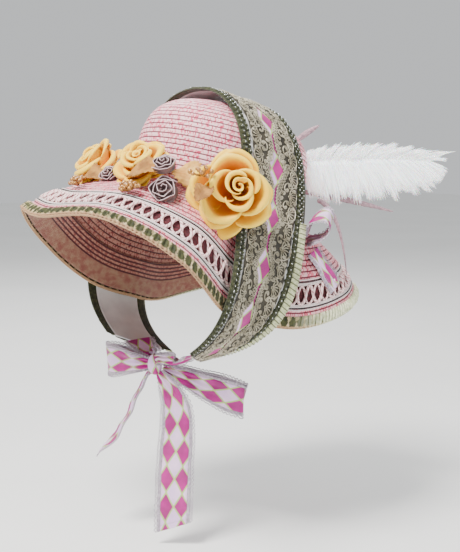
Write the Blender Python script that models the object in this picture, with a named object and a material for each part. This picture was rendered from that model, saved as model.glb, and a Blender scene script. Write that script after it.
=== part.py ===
"""Poke bonnet of sewn straw braid, worn: a tipped-back hat with a drooping brim, a trimmed band that
presses the brim's sides down and turns in under the jaw, ribbon ties in a bow, flowers and feathers.

Metres, +Z up, the wearer faces -Y. The origin is the inner top of the crown, where it sits on a head.
"""
from collections import namedtuple
from functools import lru_cache
from math import cos, degrees, hypot, pi, radians, sin

import bmesh
import bpy
from mathutils import Matrix, Vector
from mathutils.bvhtree import BVHTree

GAP = 0.0003                 # between pieces that touch
FAR = 0.4                    # from where rays feel for what is built, beyond the object's size

# Hat
TILT = radians(17.5)         # the hat is tipped back
STRAW = 0.0024               # thickness of the sewn braid
CROWN_HALF_WIDTH = 0.088
CROWN_HALF_LENGTH = 0.097
CROWN_HEIGHT = 0.105
CROWN_SIDE_POWER = 3.0       # how square the crown is in plan height, side
CROWN_TOP_POWER = 5.2        # and top
BRIM_WIDTH = 0.122           # along the brim's slope, at the front
SPOKES = 36                  # facets round the hat
CROWN_ROWS = 5
BRIM_ROWS = 4

# The brim, by angle from the front: its width as a share of BRIM_WIDTH, and how far its chord droops
Rib = namedtuple("Rib", "angle width droop")
BRIM_RIBS = (
    Rib(0, 1.00, 33),
    Rib(25, 0.95, 30),
    Rib(50, 0.98, 43),
    Rib(70, 0.985, 70),
    Rib(90, 0.965, 78),
    Rib(110, 0.99, 67),
    Rib(130, 0.92, 48),
    Rib(155, 0.81, 30),
    Rib(180, 0.84, 36),
)
SHALLOW_DROOP = 30           # least and greatest droop, between which the brim's bend moves outward
STEEP_DROOP = 78
SHALLOW_BEND = 0.55          # where the bend lies, as a share of the reach
STEEP_BEND = 0.95
BEND_DROP = 0.2              # and of the drop

# Rows of the brim, as shares of its width from the crown
NET_FROM = 0.63
NET_TO = 0.825
RUFFLE_FROM = 0.90
STRAW_TO = 0.97
NET = 0.0010                 # thickness of the net that faces the brim's outer part from below
OPENWORK = 0.0013            # thickness of the twisted cord
OPENWORK_STAND = 0.0008      # how far it stands above the straw
OPENWORK_RAIL = 0.13         # rail width as a share of the openwork's width
OPENWORK_BAR = 0.36          # bar width as a share of half a period
RUFFLE = 0.0010              # thickness of the ruched ribbon
RUFFLE_HEIGHT = 0.0032       # how high its pleats stand
RUFFLE_WAVE = 0.012          # how much further they reach, as a share of the brim's width
RUFFLE_LIFT = 0.0008         # over the straw, whose edge it wraps
RUFFLE_REACH = 0.99          # the ruffle's outer edge, as a share of the brim's width
PRESSED_AT = 80              # degrees from the front, where the band presses the pleats flat
PRESSED_HALF = 38

# Band
BAND_CLOTH = 0.0012
BAND_WIDTH = 0.058
BAND_FRONT_TRIM = 0.011
BAND_REAR_TRIM = 0.013
BAND_STAND = 0.007           # how far the front edge stands off the crown's top
BAND_CLEARANCE = 0.0024
BAND_LAYER = 0.0005          # between the band's layers
BAND_STATIONS = 36
FRONT_SWEEP = radians(153)   # from the top down to the hem, at the front and rear edges
REAR_SWEEP = radians(167)
FLAP_RADIUS = 0.160          # of the flaps that turn in, about the crown's base
# From the top (0) to the hem (1): front and rear edges as shares of CROWN_HALF_LENGTH, radius as a
# share of FLAP_RADIUS where nothing lies under the band, and stand as a share of BAND_STAND
Station = namedtuple("Station", "share front rear radius stand")
BAND_ROWS = (
    Station(0.00, -0.125, 0.38, 0.20, 1.0),
    Station(0.28, -0.16, 0.41, 0.20, 0.6),
    Station(0.52, -0.28, 0.36, 0.40, 0.1),
    Station(0.68, -0.57, 0.00, 0.60, 0.0),
    Station(0.85, -0.78, -0.33, 1.02, 0.0),
    Station(1.00, -0.82, -0.44, 1.00, 0.0),
)
LACE = 0.0012
LACE_FROM = 0.12             # of BAND_WIDTH, from either edge
EYE_PERIOD = 0.054           # eye-shaped gaps along the band
EYE_OPEN = 0.15              # half opening of an eye, as a share of BAND_WIDTH
EYE_SHUT = 0.02
EYE_SHARPNESS = 3             # how short the eyes are in their period
HARLEQUIN_HALF = 0.21
SCALLOP = 0.0022             # how deep the trims' scallops are

# Lines along the band that its form is worked out on, as shares of its width: cloth, lace and ribbon edges,
# and a line beyond either trim
BEFORE_TRIM = -0.25
BEHIND_TRIM = 1.28
BAND_LINES = (BEFORE_TRIM, 0.0, LACE_FROM, 0.5 - HARLEQUIN_HALF, 0.5 + HARLEQUIN_HALF, 1 - LACE_FROM, 1.0,
              BEHIND_TRIM)
BAND_FEEL = 0.010            # how far round each point the band feels for the hat under it
FEELERS = 9                  # rows of feelers each way
BAND_EASING = 8              # rounds of smoothing, as the cloth bridges hollows

# Ties and bow
RIBBON_WIDTH = 0.032         # with its lace edges
RIBBON = 0.0010
KNOT_WIDTH = 0.014
KNOT_HEIGHT = 0.022
KNOT_DEPTH = 0.013

PINCH = 0.36                 # ribbon width at the knot, as a share
KNOT = Vector((0, -0.075, -0.167))
KNOT_RINGS = 6
KNOT_SIDES = 8
LEFT_LOOP = 0.060
RIGHT_LOOP = 0.093
LEFT_LOOP_BEARING = -72
LEFT_LOOP_RISE = -1
RIGHT_LOOP_BEARING = 135
RIGHT_LOOP_RISE = -21
LOOP_OPEN = 0.006            # half opening of a loop
LOOP_SPREAD = 1.3            # how soon a loop reaches its full width
# A loop's path out and back: share of its length, and share of its half opening to one side
LoopPoint = namedtuple("LoopPoint", "out aside")
LOOP_PATH = tuple(LoopPoint(*pair) for pair in (
    (0.0, 0.2), (0.3, 0.9), (0.75, 1.1), (1.0, 0.0), (0.75, -1.0), (0.3, -0.8), (0.0, -0.2)))
TIE_LAP = 0.08               # stations of the band that a tie runs under
TIE_RUN = 0.9                # and how far it runs on in line with the band
LEFT_TIE_BEARING = 68        # the left tie passes before its loop, the right tie behind
RIGHT_TIE_BEARING = -120
TIE_RISE = 32
TIE_LIFT = 0.0028            # under the band's hem
TIE_LEAD = 0.006             # straight run at the knot
TIE_TWIST = 0.6              # of its twist, done half way
TIE_WIDTHS = (1.0, 0.9, 0.5, PINCH, PINCH)  # from the hem to the knot, as shares of RIBBON_WIDTH
TAIL_WIDTHS = (0.85, 1.0, 1.0)  # of its spread, from the bend to the end
# Tails of the bow: length, the share of it that leads from the knot to the bend, that lead's bearing and fall
# in degrees, the rest's bearing and fall, the sag between, and the directions of the width at both ends
Tail = namedtuple("Tail", "name length lead lead_bearing lead_fall bearing fall bow across_start across spread")
TAILS = (
    Tail("tail_long", 0.172, 0.26, 96, 52, -20, 88, 0.02, 100, 133, 1.10),
    Tail("tail_short", 0.106, 0.25, -75, 52, -60, 60, 0.04, 40, 60, 0.85),
)

# Bow at the back, on the brim
REAR_BOW_ANGLE = 119
REAR_BOW_SHARE = 0.27
REAR_LOOP = 0.036
REAR_LOOP_TURN = 35          # degrees that the loop is turned about its root
# The loop's path, as shares of its length along the brim and off it, and its widths as shares of RIBBON_WIDTH
RearPoint = namedtuple("RearPoint", "along off width")
REAR_LOOP_PATH = tuple(RearPoint(*row) for row in (
    (0.0, 0.0, 0.5), (0.16, 0.45, 0.8), (0.05, 0.9, 0.9), (-0.25, 1.0, 0.9), (-0.40, 0.6, 0.8), (-0.2, 0.12, 0.5)))
REAR_TAIL = 0.36             # length and start, as shares of the brim's width
REAR_TAIL_FROM = 0.10
REAR_TAIL_POINTS = 5
REAR_TAIL_TURN = 2           # degrees round the hat from one point of the tail to the next
REAR_TAIL_LIFT = 0.0022
REAR_TAIL_WIDTH = 0.8        # of RIBBON_WIDTH

# Flowers, leaves and berries, by place on the brim: angle from the front, share of the brim's width, and
# the direction they face as a bearing and a rise in degrees
ROSE_SIDES = 18
RIBBON_ROSE_SIDES = 10
LEAF = 0.0012
LEAF_ROWS = 4
BERRY = 0.0030
BERRY_HEART = 0.0062
BERRY_SPREAD = 0.0056
BERRY_STRETCH = 1.5
HEART = 0.93
Whorl = namedtuple("Whorl", "radius height wave lobes turn")
ROSE_WHORLS = (
    Whorl(0.12, 1.00, 0.10, 2, 0.0),
    Whorl(0.19, 0.80, 0.10, 3, 0.6),
    Whorl(0.36, 0.98, 0.10, 3, 0.6),
    Whorl(0.44, 0.66, 0.09, 4, 1.9),
    Whorl(0.66, 0.80, 0.09, 4, 1.9),
    Whorl(0.73, 0.44, 0.07, 5, 0.4),
    Whorl(1.00, 0.56, 0.07, 5, 0.4),
    Whorl(0.94, 0.42, 0.07, 5, 0.4),
    Whorl(0.48, 0.00, 0.00, 5, 0.0),
)
SMALL_WHORLS = tuple(ROSE_WHORLS[k] for k in (0, 3, 4, 5, 6, 8))
Bloom = namedtuple("Bloom", "name angle share lift bearing rise radius depth turn")
ROSES = (
    Bloom("rose_large", 57, 0.29, 0.02, 57, 8, 0.0395, 0.030, 60),
    Bloom("rose_front", 16, 0.22, 0.02, 18, 48, 0.0285, 0.026, 20),
    Bloom("rose_far", -27, 0.26, 0.02, -8, 44, 0.0305, 0.026, 100),
)
RIBBON_ROSES = (
    Bloom("ribbon_rose_1", 35, 0.54, 0.02, 45, 35, 0.0145, 0.013, 0),
    Bloom("ribbon_rose_2", 0, 0.34, 0.02, 20, 45, 0.0110, 0.010, 40),
    Bloom("ribbon_rose_3", 32, 0.33, 0.02, 40, 55, 0.0120, 0.011, 80),
)
LEAVES = (
    Bloom("leaf_1", 36, 0.16, 0.03, 40, 50, 0.036, 0.028, 60),
    Bloom("leaf_2", 24, 0.42, 0.03, 25, 60, 0.040, 0.026, 170),
    Bloom("leaf_3", -12, 0.42, 0.03, 0, 60, 0.040, 0.024, 175),
    Bloom("leaf_4", 48, 0.50, 0.03, 50, 50, 0.024, 0.016, 120),
)
BERRY_CLUSTERS = (
    Bloom("berries_1", -5, 0.56, 0.03, -20, 65, 7, 0, 0),
    Bloom("berries_2", 22, 0.60, 0.03, 5, 65, 8, 0, 0),
    Bloom("berries_3", 47, 0.42, 0.03, 50, 50, 5, 0, 0),
)

# Feathers, on the crown's left rear: places by angle from the front and share of the crown's height
PLUME = 0.146
PLUME_UPPER = 0.026
PLUME_LOWER = 0.028
PLUME_THICKNESS = 0.016
PLUME_ROWS = 18
PLUME_LOCK = 0.16
Feather = namedtuple("Feather", "name angle height bearing rise length width bend")
PLUME_PLACE = Feather("plume", 142, 0.50, 143, 12, 1.0, 1.0, -0.12)
BIOTS = (
    Feather("biot_1", 134, 0.84, 140, 40, 0.028, 0.004, -0.1),
    Feather("biot_2", 146, 0.36, 143, -9, 0.100, 0.004, -0.06),
    Feather("biot_3", 134, 0.24, 143, -16, 0.055, 0.004, -1.30),
)
BIOT_THICKNESS = 0.0012
BIOT_ROWS = 6
QUILL_ROOT = 0.003           # its root's distance off the crown before it settles
PROFILE_STEPS = 60           # steps of the crown's side that a feather's root is looked up in
VANE_START = 0.22            # of the vane's outline, a half wave: where it starts, its run, fullness and tip
VANE_RUN = 0.75
VANE_FULLNESS = 0.55
VANE_TIP = 0.06
THIN_TIP = 0.15


def mix(a, b, share):
    return a + (b - a) * share


def read_rows(rows, key, column, at, flat_end=True):
    """Value of a column at a place between the rows, on a smooth curve through them."""
    keys = [getattr(row, key) for row in rows]
    values = [getattr(row, column) for row in rows]
    at = min(max(at, keys[0]), keys[-1])
    i = max(k for k in range(len(keys) - 1) if keys[k] <= at)

    def slope(k):
        if k == 0:
            return 0.0
        if k == len(keys) - 1:
            return 0.0 if flat_end else (values[k] - values[k - 1]) / (keys[k] - keys[k - 1])
        return (values[k + 1] - values[k - 1]) / (keys[k + 1] - keys[k - 1])

    step = keys[i + 1] - keys[i]
    x = (at - keys[i]) / step
    rise = values[i + 1] - values[i]
    near, far = slope(i) * step, slope(i + 1) * step
    return values[i] + x * (near + x * (3 * rise - 2 * near - far + x * (near + far - 2 * rise)))


# The crown and the brim are set out upright, and tipped back about the centre of the crown's base
TIP = Matrix.Rotation(-TILT, 3, "X")


def tip(point):
    return TIP @ Vector(point)


def crown_radius(angle, inset=0.0):
    """Plan radius at an angle from the front, in radians, towards the wearer's left."""
    wide = CROWN_HALF_WIDTH - inset
    long = CROWN_HALF_LENGTH - inset
    return 1 / hypot(sin(angle) / wide, cos(angle) / long)


@lru_cache(maxsize=None)
def crown_profile(rows):
    """Share of radius and share of height at even steps along the crown's side."""
    steps = 400
    dense = [(cos(k / steps * pi / 2) ** (2 / CROWN_SIDE_POWER), sin(k / steps * pi / 2) ** (2 / CROWN_TOP_POWER))
             for k in range(steps + 1)]
    run = [0.0]
    for a, b in zip(dense, dense[1:]):
        run.append(run[-1] + hypot((b[0] - a[0]) * CROWN_HALF_LENGTH, (b[1] - a[1]) * CROWN_HEIGHT))
    picked = []
    for row in range(rows + 1):
        want = run[-1] * row / rows
        k = min(range(len(run)), key=lambda n: abs(run[n] - want))
        picked.append(dense[k])
    picked[0] = (1.0, 0.0)
    picked[-1] = (0.0, 1.0)
    return picked


def crown_point(angle, radius_share, height_share, inset=0.0):
    radius = crown_radius(angle, inset) * radius_share
    return tip((radius * sin(angle), -radius * cos(angle), (CROWN_HEIGHT - inset) * height_share))


@lru_cache(maxsize=None)
def brim_section(angle):
    """The brim's slope at an angle: points of (radius, height) at even steps of its length."""
    folded = abs((degrees(angle) + 180) % 360 - 180)
    width = BRIM_WIDTH * read_rows(BRIM_RIBS, "angle", "width", folded)
    droop = read_rows(BRIM_RIBS, "angle", "droop", folded)
    reach, drop = width * cos(radians(droop)), width * sin(radians(droop))
    bend = mix(SHALLOW_BEND, STEEP_BEND, (droop - SHALLOW_DROOP) / (STEEP_DROOP - SHALLOW_DROOP))
    root = crown_radius(angle)
    steps = 48
    curve = []
    for k in range(steps + 1):
        s = k / steps
        middle = 2 * s * (1 - s)
        curve.append((root + reach * (middle * bend + s * s), -drop * (middle * BEND_DROP + s * s)))
    run = [0.0]
    for a, b in zip(curve, curve[1:]):
        run.append(run[-1] + hypot(b[0] - a[0], b[1] - a[1]))
    return curve, run


def brim_bare(angle, share):
    curve, run = brim_section(angle)
    want = share * run[-1]
    k = min(max(sum(1 for length in run if length <= want) - 1, 0), len(run) - 2)
    x = (want - run[k]) / (run[k + 1] - run[k])
    radius, height = (mix(curve[k][n], curve[k + 1][n], x) for n in (0, 1))
    return Vector((radius * sin(angle), -radius * cos(angle), height))


def brim_point(angle, share, lift=0.0):
    """A point of the brim: share of its width from the crown, lifted off its upper face."""
    step = 0.02
    along = brim_bare(angle + step, share) - brim_bare(angle - step, share)
    out = brim_bare(angle, share + step) - brim_bare(angle, share - step)
    return tip(brim_bare(angle, share) + out.cross(along).normalized() * lift)


def facet_point(place, share, lift):
    """A point on the brim's facets, at a place counted in spokes from the front."""
    spoke = int(place // 1)
    near, far = (brim_point(2 * pi * n / SPOKES, share, lift) for n in (spoke, spoke + 1))
    return near.lerp(far, place - spoke)


# Every piece hangs on one empty at the seat, the inner top of the crown
SEAT = tip((0, 0, CROWN_HEIGHT - STRAW))
SKINS = {}


def start():
    for item in list(bpy.data.objects):
        bpy.data.objects.remove(item, do_unlink=True)
    frame = bpy.data.objects.new("seat_frame", None)
    frame.location = -SEAT
    bpy.context.collection.objects.link(frame)
    return frame


def finish(name, colour, roughness, metallic=0.0):
    material = bpy.data.materials.new(name)
    material.use_nodes = True
    shader = material.node_tree.nodes["Principled BSDF"]
    shader.inputs["Base Color"].default_value = (*colour, 1.0)
    shader.inputs["Roughness"].default_value = roughness
    shader.inputs["Metallic"].default_value = metallic
    material.diffuse_color = (*colour, 1.0)
    return material


def build_piece(name, points, faces, material):
    """One closed solid from points in the head's frame, with triangles facing out."""
    mesh = bpy.data.meshes.new(name)
    mesh.from_pydata([tuple(p) for p in points], [], faces)
    work = bmesh.new()
    work.from_mesh(mesh)
    bmesh.ops.triangulate(work, faces=work.faces, quad_method="FIXED")
    bmesh.ops.recalc_face_normals(work, faces=work.faces)
    work.to_mesh(mesh)
    work.free()
    return place_piece(name, mesh, material)


def place_piece(name, mesh, material):
    mesh.materials.clear()
    mesh.materials.append(material)
    mesh.shade_smooth()
    mesh.set_sharp_from_angle(angle=radians(40))
    piece = bpy.data.objects.new(name, mesh)
    piece.parent = FRAME
    bpy.context.collection.objects.link(piece)
    SKINS[name] = ([v.co.copy() for v in mesh.vertices], [tuple(f.vertices) for f in mesh.polygons])
    return piece


def joined_skin(names):
    points, faces = [], []
    for name in names:
        base = len(points)
        points += SKINS[name][0]
        faces += [tuple(k + base for k in face) for face in SKINS[name][1]]
    return points, faces


def slab(over, under, wrap=False):
    """Points and faces of a closed wall between two like grids of rows; wrap closes the last row on the first."""
    rows, columns = len(over), len(over[0])
    points = [p for row in over for p in row] + [p for row in under for p in row]
    low = rows * columns
    faces = []
    for i in range(rows if wrap else rows - 1):
        here, there = i * columns, (i + 1) % rows * columns
        for j in range(columns - 1):
            faces.append((here + j, here + j + 1, there + j + 1, there + j))
            faces.append((low + here + j, low + there + j, low + there + j + 1, low + here + j + 1))
        faces.append((here, there, low + there, low + here))
        last = columns - 1
        faces.append((here + last, low + here + last, low + there + last, there + last))
    if not wrap:
        for i in (0, rows - 1):
            here = i * columns
            for j in range(columns - 1):
                faces.append((here + j, low + here + j, low + here + j + 1, here + j + 1))
    return points, faces


def strip(name, shares, lift_over, lift_under, material, spokes=SPOKES):
    """A closed ring of the brim between shares of its width."""
    turns = [2 * pi * k / spokes for k in range(spokes)]
    over = [[brim_point(a, s, lift_over) for s in shares] for a in turns]
    under = [[brim_point(a, s, lift_under) for s in shares] for a in turns]
    points, faces = slab(over, under, wrap=True)
    return build_piece(name, points, faces, material)


def make_crown(material):
    profile = crown_profile(CROWN_ROWS)
    turns = [2 * pi * k / SPOKES for k in range(SPOKES)]
    foot = GAP / CROWN_HEIGHT
    points, faces = [], []
    for inset in (0.0, STRAW):
        base = len(points)
        for share, height in profile[:-1]:
            points += [crown_point(a, share, max(height, foot), inset) for a in turns]
        points.append(crown_point(0.0, 0.0, 1.0, inset))
        for row in range(CROWN_ROWS - 1):
            for k in range(SPOKES):
                a, b = base + row * SPOKES + k, base + row * SPOKES + (k + 1) % SPOKES
                faces.append((a, b, b + SPOKES, a + SPOKES))
        top = len(points) - 1
        last = base + (CROWN_ROWS - 1) * SPOKES
        faces += [(last + k, last + (k + 1) % SPOKES, top) for k in range(SPOKES)]
    inner = CROWN_ROWS * SPOKES + 1
    for k in range(SPOKES):
        n = (k + 1) % SPOKES
        faces.append((k, inner + k, inner + n, n))
    build_piece("straw_crown", points, faces, material)


def make_brim(material):
    """The brim starts under the crown's wall, and a seat there carries the crown."""
    turns = [2 * pi * k / SPOKES for k in range(SPOKES)]
    shares = [NET_FROM * k / BRIM_ROWS for k in range(BRIM_ROWS + 1)]
    over, under = [], []
    for a in turns:
        inner = crown_radius(a, STRAW)
        seat = Vector((inner * sin(a), -inner * cos(a), 0.0))
        over.append([tip(seat)] + [brim_point(a, s) for s in shares])
        under.append([tip(seat - Vector((0, 0, STRAW)))] + [brim_point(a, max(s, 0.01), -STRAW) for s in shares])
    points, faces = slab(over, under, wrap=True)
    build_piece("straw_brim", points, faces, material)


def make_openwork(material):
    """Two rails with a zigzag between them, cut through in three-cornered gaps."""
    margin = 2 * GAP / BRIM_WIDTH
    low, high = NET_FROM + margin, NET_TO - margin
    rail = (high - low) * OPENWORK_RAIL
    levels = (OPENWORK_STAND - OPENWORK, OPENWORK_STAND)
    count = 2 * SPOKES
    points, faces = [], []

    def add(step, share, lift):
        points.append(facet_point(step / 2, share, lift))
        return len(points) - 1

    rings = []
    for lift in levels:
        ring = []
        for k in range(count):
            upward = k % 2 == 0
            apex_share = low + rail if upward else high - rail
            base_share = high - rail if upward else low + rail
            ring.append({
                "apex": add(k, apex_share, lift),
                "left": add(k - 1 + OPENWORK_BAR, base_share, lift),
                "right": add(k + 1 - OPENWORK_BAR, base_share, lift),
                "low": add(k, low, lift),
                "high": add(k, high, lift),
            })
        rings.append(ring)
    for ring in rings:
        for k in range(count):
            here, there, before = ring[k], ring[(k + 1) % count], ring[k - 1]
            faces.append((here["apex"], there["left"], there["apex"], here["right"]))
            base_rail, apex_rail = ("high", "low") if k % 2 == 0 else ("low", "high")
            faces.append((here[base_rail], here["right"], here["left"]))
            faces.append((here[base_rail], there[base_rail], there["apex"], here["right"]))
            faces.append((before[base_rail], here[base_rail], here["left"], before["apex"]))
    bottom, top = rings
    for k in range(count):
        n = (k + 1) % count
        for a, b in (("apex", "left"), ("left", "right"), ("right", "apex")):
            faces.append((bottom[k][a], bottom[k][b], top[k][b], top[k][a]))
        for side in ("low", "high"):
            faces.append((bottom[k][side], bottom[n][side], top[n][side], top[k][side]))
    build_piece("openwork_braid", points, faces, material)


def make_ruffle(material):
    """Ruched ribbon over the brim's edge: a pleat stands half way between each two spokes."""
    over, under = [], []
    for k in range(2 * SPOKES):
        pressed = abs(abs((k / (2 * SPOKES) * 360 + 180) % 360 - 180) - PRESSED_AT) < PRESSED_HALF
        standing = k % 2 and not pressed
        lift = RUFFLE_LIFT + RUFFLE + (RUFFLE_HEIGHT if standing else 0.0)
        reach = RUFFLE_REACH + (RUFFLE_WAVE if standing else 0.0)
        over.append([facet_point(k / 2, RUFFLE_FROM, RUFFLE_LIFT + RUFFLE), facet_point(k / 2, reach, lift)])
        under.append([facet_point(k / 2, RUFFLE_FROM, RUFFLE_LIFT), facet_point(k / 2, reach, RUFFLE_LIFT)])
    points, faces = slab(over, under, wrap=True)
    build_piece("edge_ruffle", points, faces, material)


def toward(sweep):
    """Direction square to the head's fore-and-aft axis, swept down from the top."""
    return Vector((sin(sweep), 0, cos(sweep)))


def hit_inward(tree, axis_point, direction):
    """Distance from an axis point, along a direction, of the outermost skin there; 0 where none lies."""
    hit = tree.ray_cast(axis_point + direction * FAR, -direction, FAR)
    return 0.0 if hit[0] is None else FAR - hit[3]


@lru_cache(maxsize=None)
def band_lattice():
    """Points and normals of the band's inner face on its left half, by station (top to hem) and line."""
    points, faces = joined_skin(("straw_crown", "straw_brim", "openwork_braid", "straw_edge", "edge_ruffle"))
    tree = BVHTree.FromPolygons(points, faces)
    half = BAND_STATIONS // 2
    places, floors = [], []
    for i in range(half + 1):
        share = i / half
        front, rear, radius, stand = (
            read_rows(BAND_ROWS, "share", column, share, flat_end=False) for column in Station._fields[1:])
        for v in BAND_LINES:
            sweep = mix(FRONT_SWEEP, REAR_SWEEP, v) * share
            ahead = mix(front, rear, v) * CROWN_HALF_LENGTH
            floor = 0.0
            for n in range(FEELERS * FEELERS):
                nudge, turn = ((2 * m / (FEELERS - 1) - 1) * BAND_FEEL for m in divmod(n, FEELERS))
                near = sweep + turn / CROWN_HALF_WIDTH
                floor = max(floor, hit_inward(tree, Vector((0, ahead + nudge, 0)), toward(near)))
            floor += BAND_CLEARANCE if floor else 0.0
            floor += BAND_STAND * stand * max(0.0, 1 - v) ** 1.5
            places.append((toward(sweep), ahead))
            floors.append(max(floor, radius * FLAP_RADIUS))
    across = len(BAND_LINES)
    radii = list(floors)
    for _ in range(BAND_EASING):
        before = list(radii)
        for n, floor in enumerate(floors):
            i, j = divmod(n, across)
            beside = [before[n - 1] if j else before[n], before[n + 1] if j < across - 1 else before[n]]
            beside.append(before[n - across] if i else before[n + across])
            beside.append(before[n + across] if i < half else before[n])
            radii[n] = max(floor, (before[n] + sum(beside) / 4) / 2)
    points = [way * radius + Vector((0, ahead, 0)) for (way, ahead), radius in zip(places, radii)]
    normals = []
    for n, point in enumerate(points):
        i, j = divmod(n, across)
        after = points[min(i + 1, half) * across + j]
        before_point = points[(i - 1) * across + j] if i else Vector((-after.x, after.y, after.z))
        beside = points[i * across + min(j + 1, across - 1)] - points[i * across + max(j - 1, 0)]
        normals.append((after - before_point).cross(beside).normalized())
    return points, normals


def band_point(station, v, lift=0.0):
    """A point over the band's inner face; station runs from the right hem to the left, v from front to rear."""
    half = BAND_STATIONS // 2
    away = abs(station - half)
    side = 1 if station >= half else -1
    i = min(int(away), half - 1)
    j = max(k for k in range(len(BAND_LINES) - 1) if k == 0 or BAND_LINES[k] <= v)
    points, normals = band_lattice()

    def corner(a, b):
        n = a * len(BAND_LINES) + b
        return points[n] + normals[n] * lift

    x, y = away - i, (v - BAND_LINES[j]) / (BAND_LINES[j + 1] - BAND_LINES[j])
    point = corner(i, j).lerp(corner(i, j + 1), y).lerp(corner(i + 1, j).lerp(corner(i + 1, j + 1), y), x)
    return Vector((point.x * side, point.y, point.z))


def band_strip(name, shares_at, low, high, material):
    """A strip along the band; shares_at(station) gives its lines from front to rear, in band widths."""
    over, under = [], []
    for station in range(BAND_STATIONS + 1):
        shares = shares_at(station)
        over.append([band_point(station, v, high) for v in shares])
        under.append([band_point(station, v, low) for v in shares])
    points, faces = slab(over, under)
    build_piece(name, points, faces, material)


def band_length_to(station):
    """Rough length along the band from its top, for the spacing of the eyes."""
    half = BAND_STATIONS // 2
    steps = abs(station - half)
    return sum((band_point(half + k + 1, 0.5) - band_point(half + k, 0.5)).length for k in range(steps))


def eye_opening(station):
    """Half opening between the lace rows; it swells to an eye once in each period."""
    turn = band_length_to(station) / EYE_PERIOD * pi
    return mix(EYE_SHUT, EYE_OPEN, abs(sin(turn)) ** EYE_SHARPNESS)


def make_band():
    trim_front = BAND_FRONT_TRIM / BAND_WIDTH
    trim_rear = BAND_REAR_TRIM / BAND_WIDTH
    scallop = SCALLOP / BAND_WIDTH
    edge = GAP / BAND_WIDTH
    ribbon_low = BAND_CLOTH + BAND_LAYER
    ribbon_high = ribbon_low + RIBBON
    lace_low = ribbon_high + BAND_LAYER
    lace_high = lace_low + LACE
    inner, outer = 0.5 - HARLEQUIN_HALF, 0.5 + HARLEQUIN_HALF
    eyes = [eye_opening(n) for n in range(BAND_STATIONS + 1)]

    def base_lines(n):
        return 0.0, LACE_FROM, inner, 0.5 - eyes[n], 0.5 + eyes[n], outer, 1 - LACE_FROM, 1.0

    band_strip("band_base", base_lines, 0.0, BAND_CLOTH, WHITE_SATIN)
    band_strip("band_harlequin", lambda n: (inner, 0.5 - eyes[n], 0.5 + eyes[n], outer),
               ribbon_low, ribbon_high, HARLEQUIN)
    band_strip("band_lace_front", lambda n: (LACE_FROM, inner, 0.5 - eyes[n]), lace_low, lace_high, GUIPURE)
    band_strip("band_lace_rear", lambda n: (0.5 + eyes[n], outer, 1 - LACE_FROM), lace_low, lace_high, GUIPURE)
    band_strip("band_trim_front", lambda n: (-trim_front - scallop * (n % 2), -edge), 0.0, BAND_CLOTH, OLIVE)
    band_strip("band_trim_rear", lambda n: (1 + edge, 1 + trim_rear + scallop * (n % 2)), 0.0, BAND_CLOTH, OLIVE)


def spline(points, steps):
    """Points at even parameters on a smooth curve through the given ones."""
    out = []
    for k in range(steps + 1):
        place = k / steps * (len(points) - 1)
        i = min(int(place), len(points) - 2)
        x = place - i
        p0, p1 = points[max(i - 1, 0)], points[i]
        p2, p3 = points[i + 1], points[min(i + 2, len(points) - 1)]
        out.append(0.5 * (2 * p1 + (p2 - p0) * x + (2 * p0 - 5 * p1 + 4 * p2 - p3) * x * x
                          + (3 * p1 - p0 - 3 * p2 + p3) * x ** 3))
    return out


def ribbon_body(path, acrosses, widths, thickness, steps=12, columns=1):
    """A flat strip along a path; acrosses gives its width's direction and widths its width at each point."""
    centres = spline([Vector(p) for p in path], steps)
    turns = spline([Vector(a).normalized() for a in acrosses], steps)
    wide = spline([Vector((w, 0, 0)) for w in widths], steps)
    over, under = [], []
    for k, centre in enumerate(centres):
        ahead = (centres[min(k + 1, steps)] - centres[max(k - 1, 0)]).normalized()
        across = (turns[k] - ahead * turns[k].dot(ahead)).normalized()
        normal = ahead.cross(across).normalized()
        row_over, row_under = [], []
        for j in range(columns + 1):
            place = 2 * j / columns - 1
            point = centre + across * (place * wide[k].x / 2)
            row_over.append(point + normal * thickness / 2)
            row_under.append(point - normal * thickness / 2)
        over.append(row_over)
        under.append(row_under)
    return slab(over, under)


def loft(rings):
    """Points and faces of a closed body through like rings, its ends filled."""
    count = len(rings[0])
    points = [p for ring in rings for p in ring]
    faces = []
    for i in range(len(rings) - 1):
        for k in range(count):
            a, b = i * count + k, i * count + (k + 1) % count
            faces.append((a, b, b + count, a + count))
    faces.append(tuple(range(count))[::-1])
    faces.append(tuple(range(len(points) - count, len(points))))
    return points, faces


def settle(points, faces, way, carriers):
    """Move a body along its way, in or out, until it lies a gap off what carries it."""
    under_points, under_faces = joined_skin(carriers)
    tree = BVHTree.FromPolygons(under_points, under_faces)
    own = BVHTree.FromPolygons(points, faces)
    needs = []
    for p in points:
        hit = tree.ray_cast(p + way * FAR, -way, 2 * FAR)
        if hit[0] is not None:
            needs.append(FAR - hit[3])
    for q in under_points:
        hit = own.ray_cast(q - way * FAR, way, 2 * FAR)
        if hit[0] is not None:
            needs.append(FAR - hit[3])
    shift = max(needs)
    while BVHTree.FromPolygons([p + way * shift for p in points], faces).overlap(tree):
        shift += GAP
    return [p + way * (shift + GAP) for p in points]


def heading(bearing, rise):
    """A unit direction: bearing in degrees from the front towards the wearer's left, and degrees up."""
    b, r = radians(bearing), radians(rise)
    return Vector((sin(b) * cos(r), -cos(b) * cos(r), sin(r)))


def facing_frame(way, turn=0.0):
    side = way.cross(Vector((0, 0, 1))).normalized()
    up = side.cross(way).normalized()
    t = radians(turn)
    return side * cos(t) + up * sin(t), up * cos(t) - side * sin(t)


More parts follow.
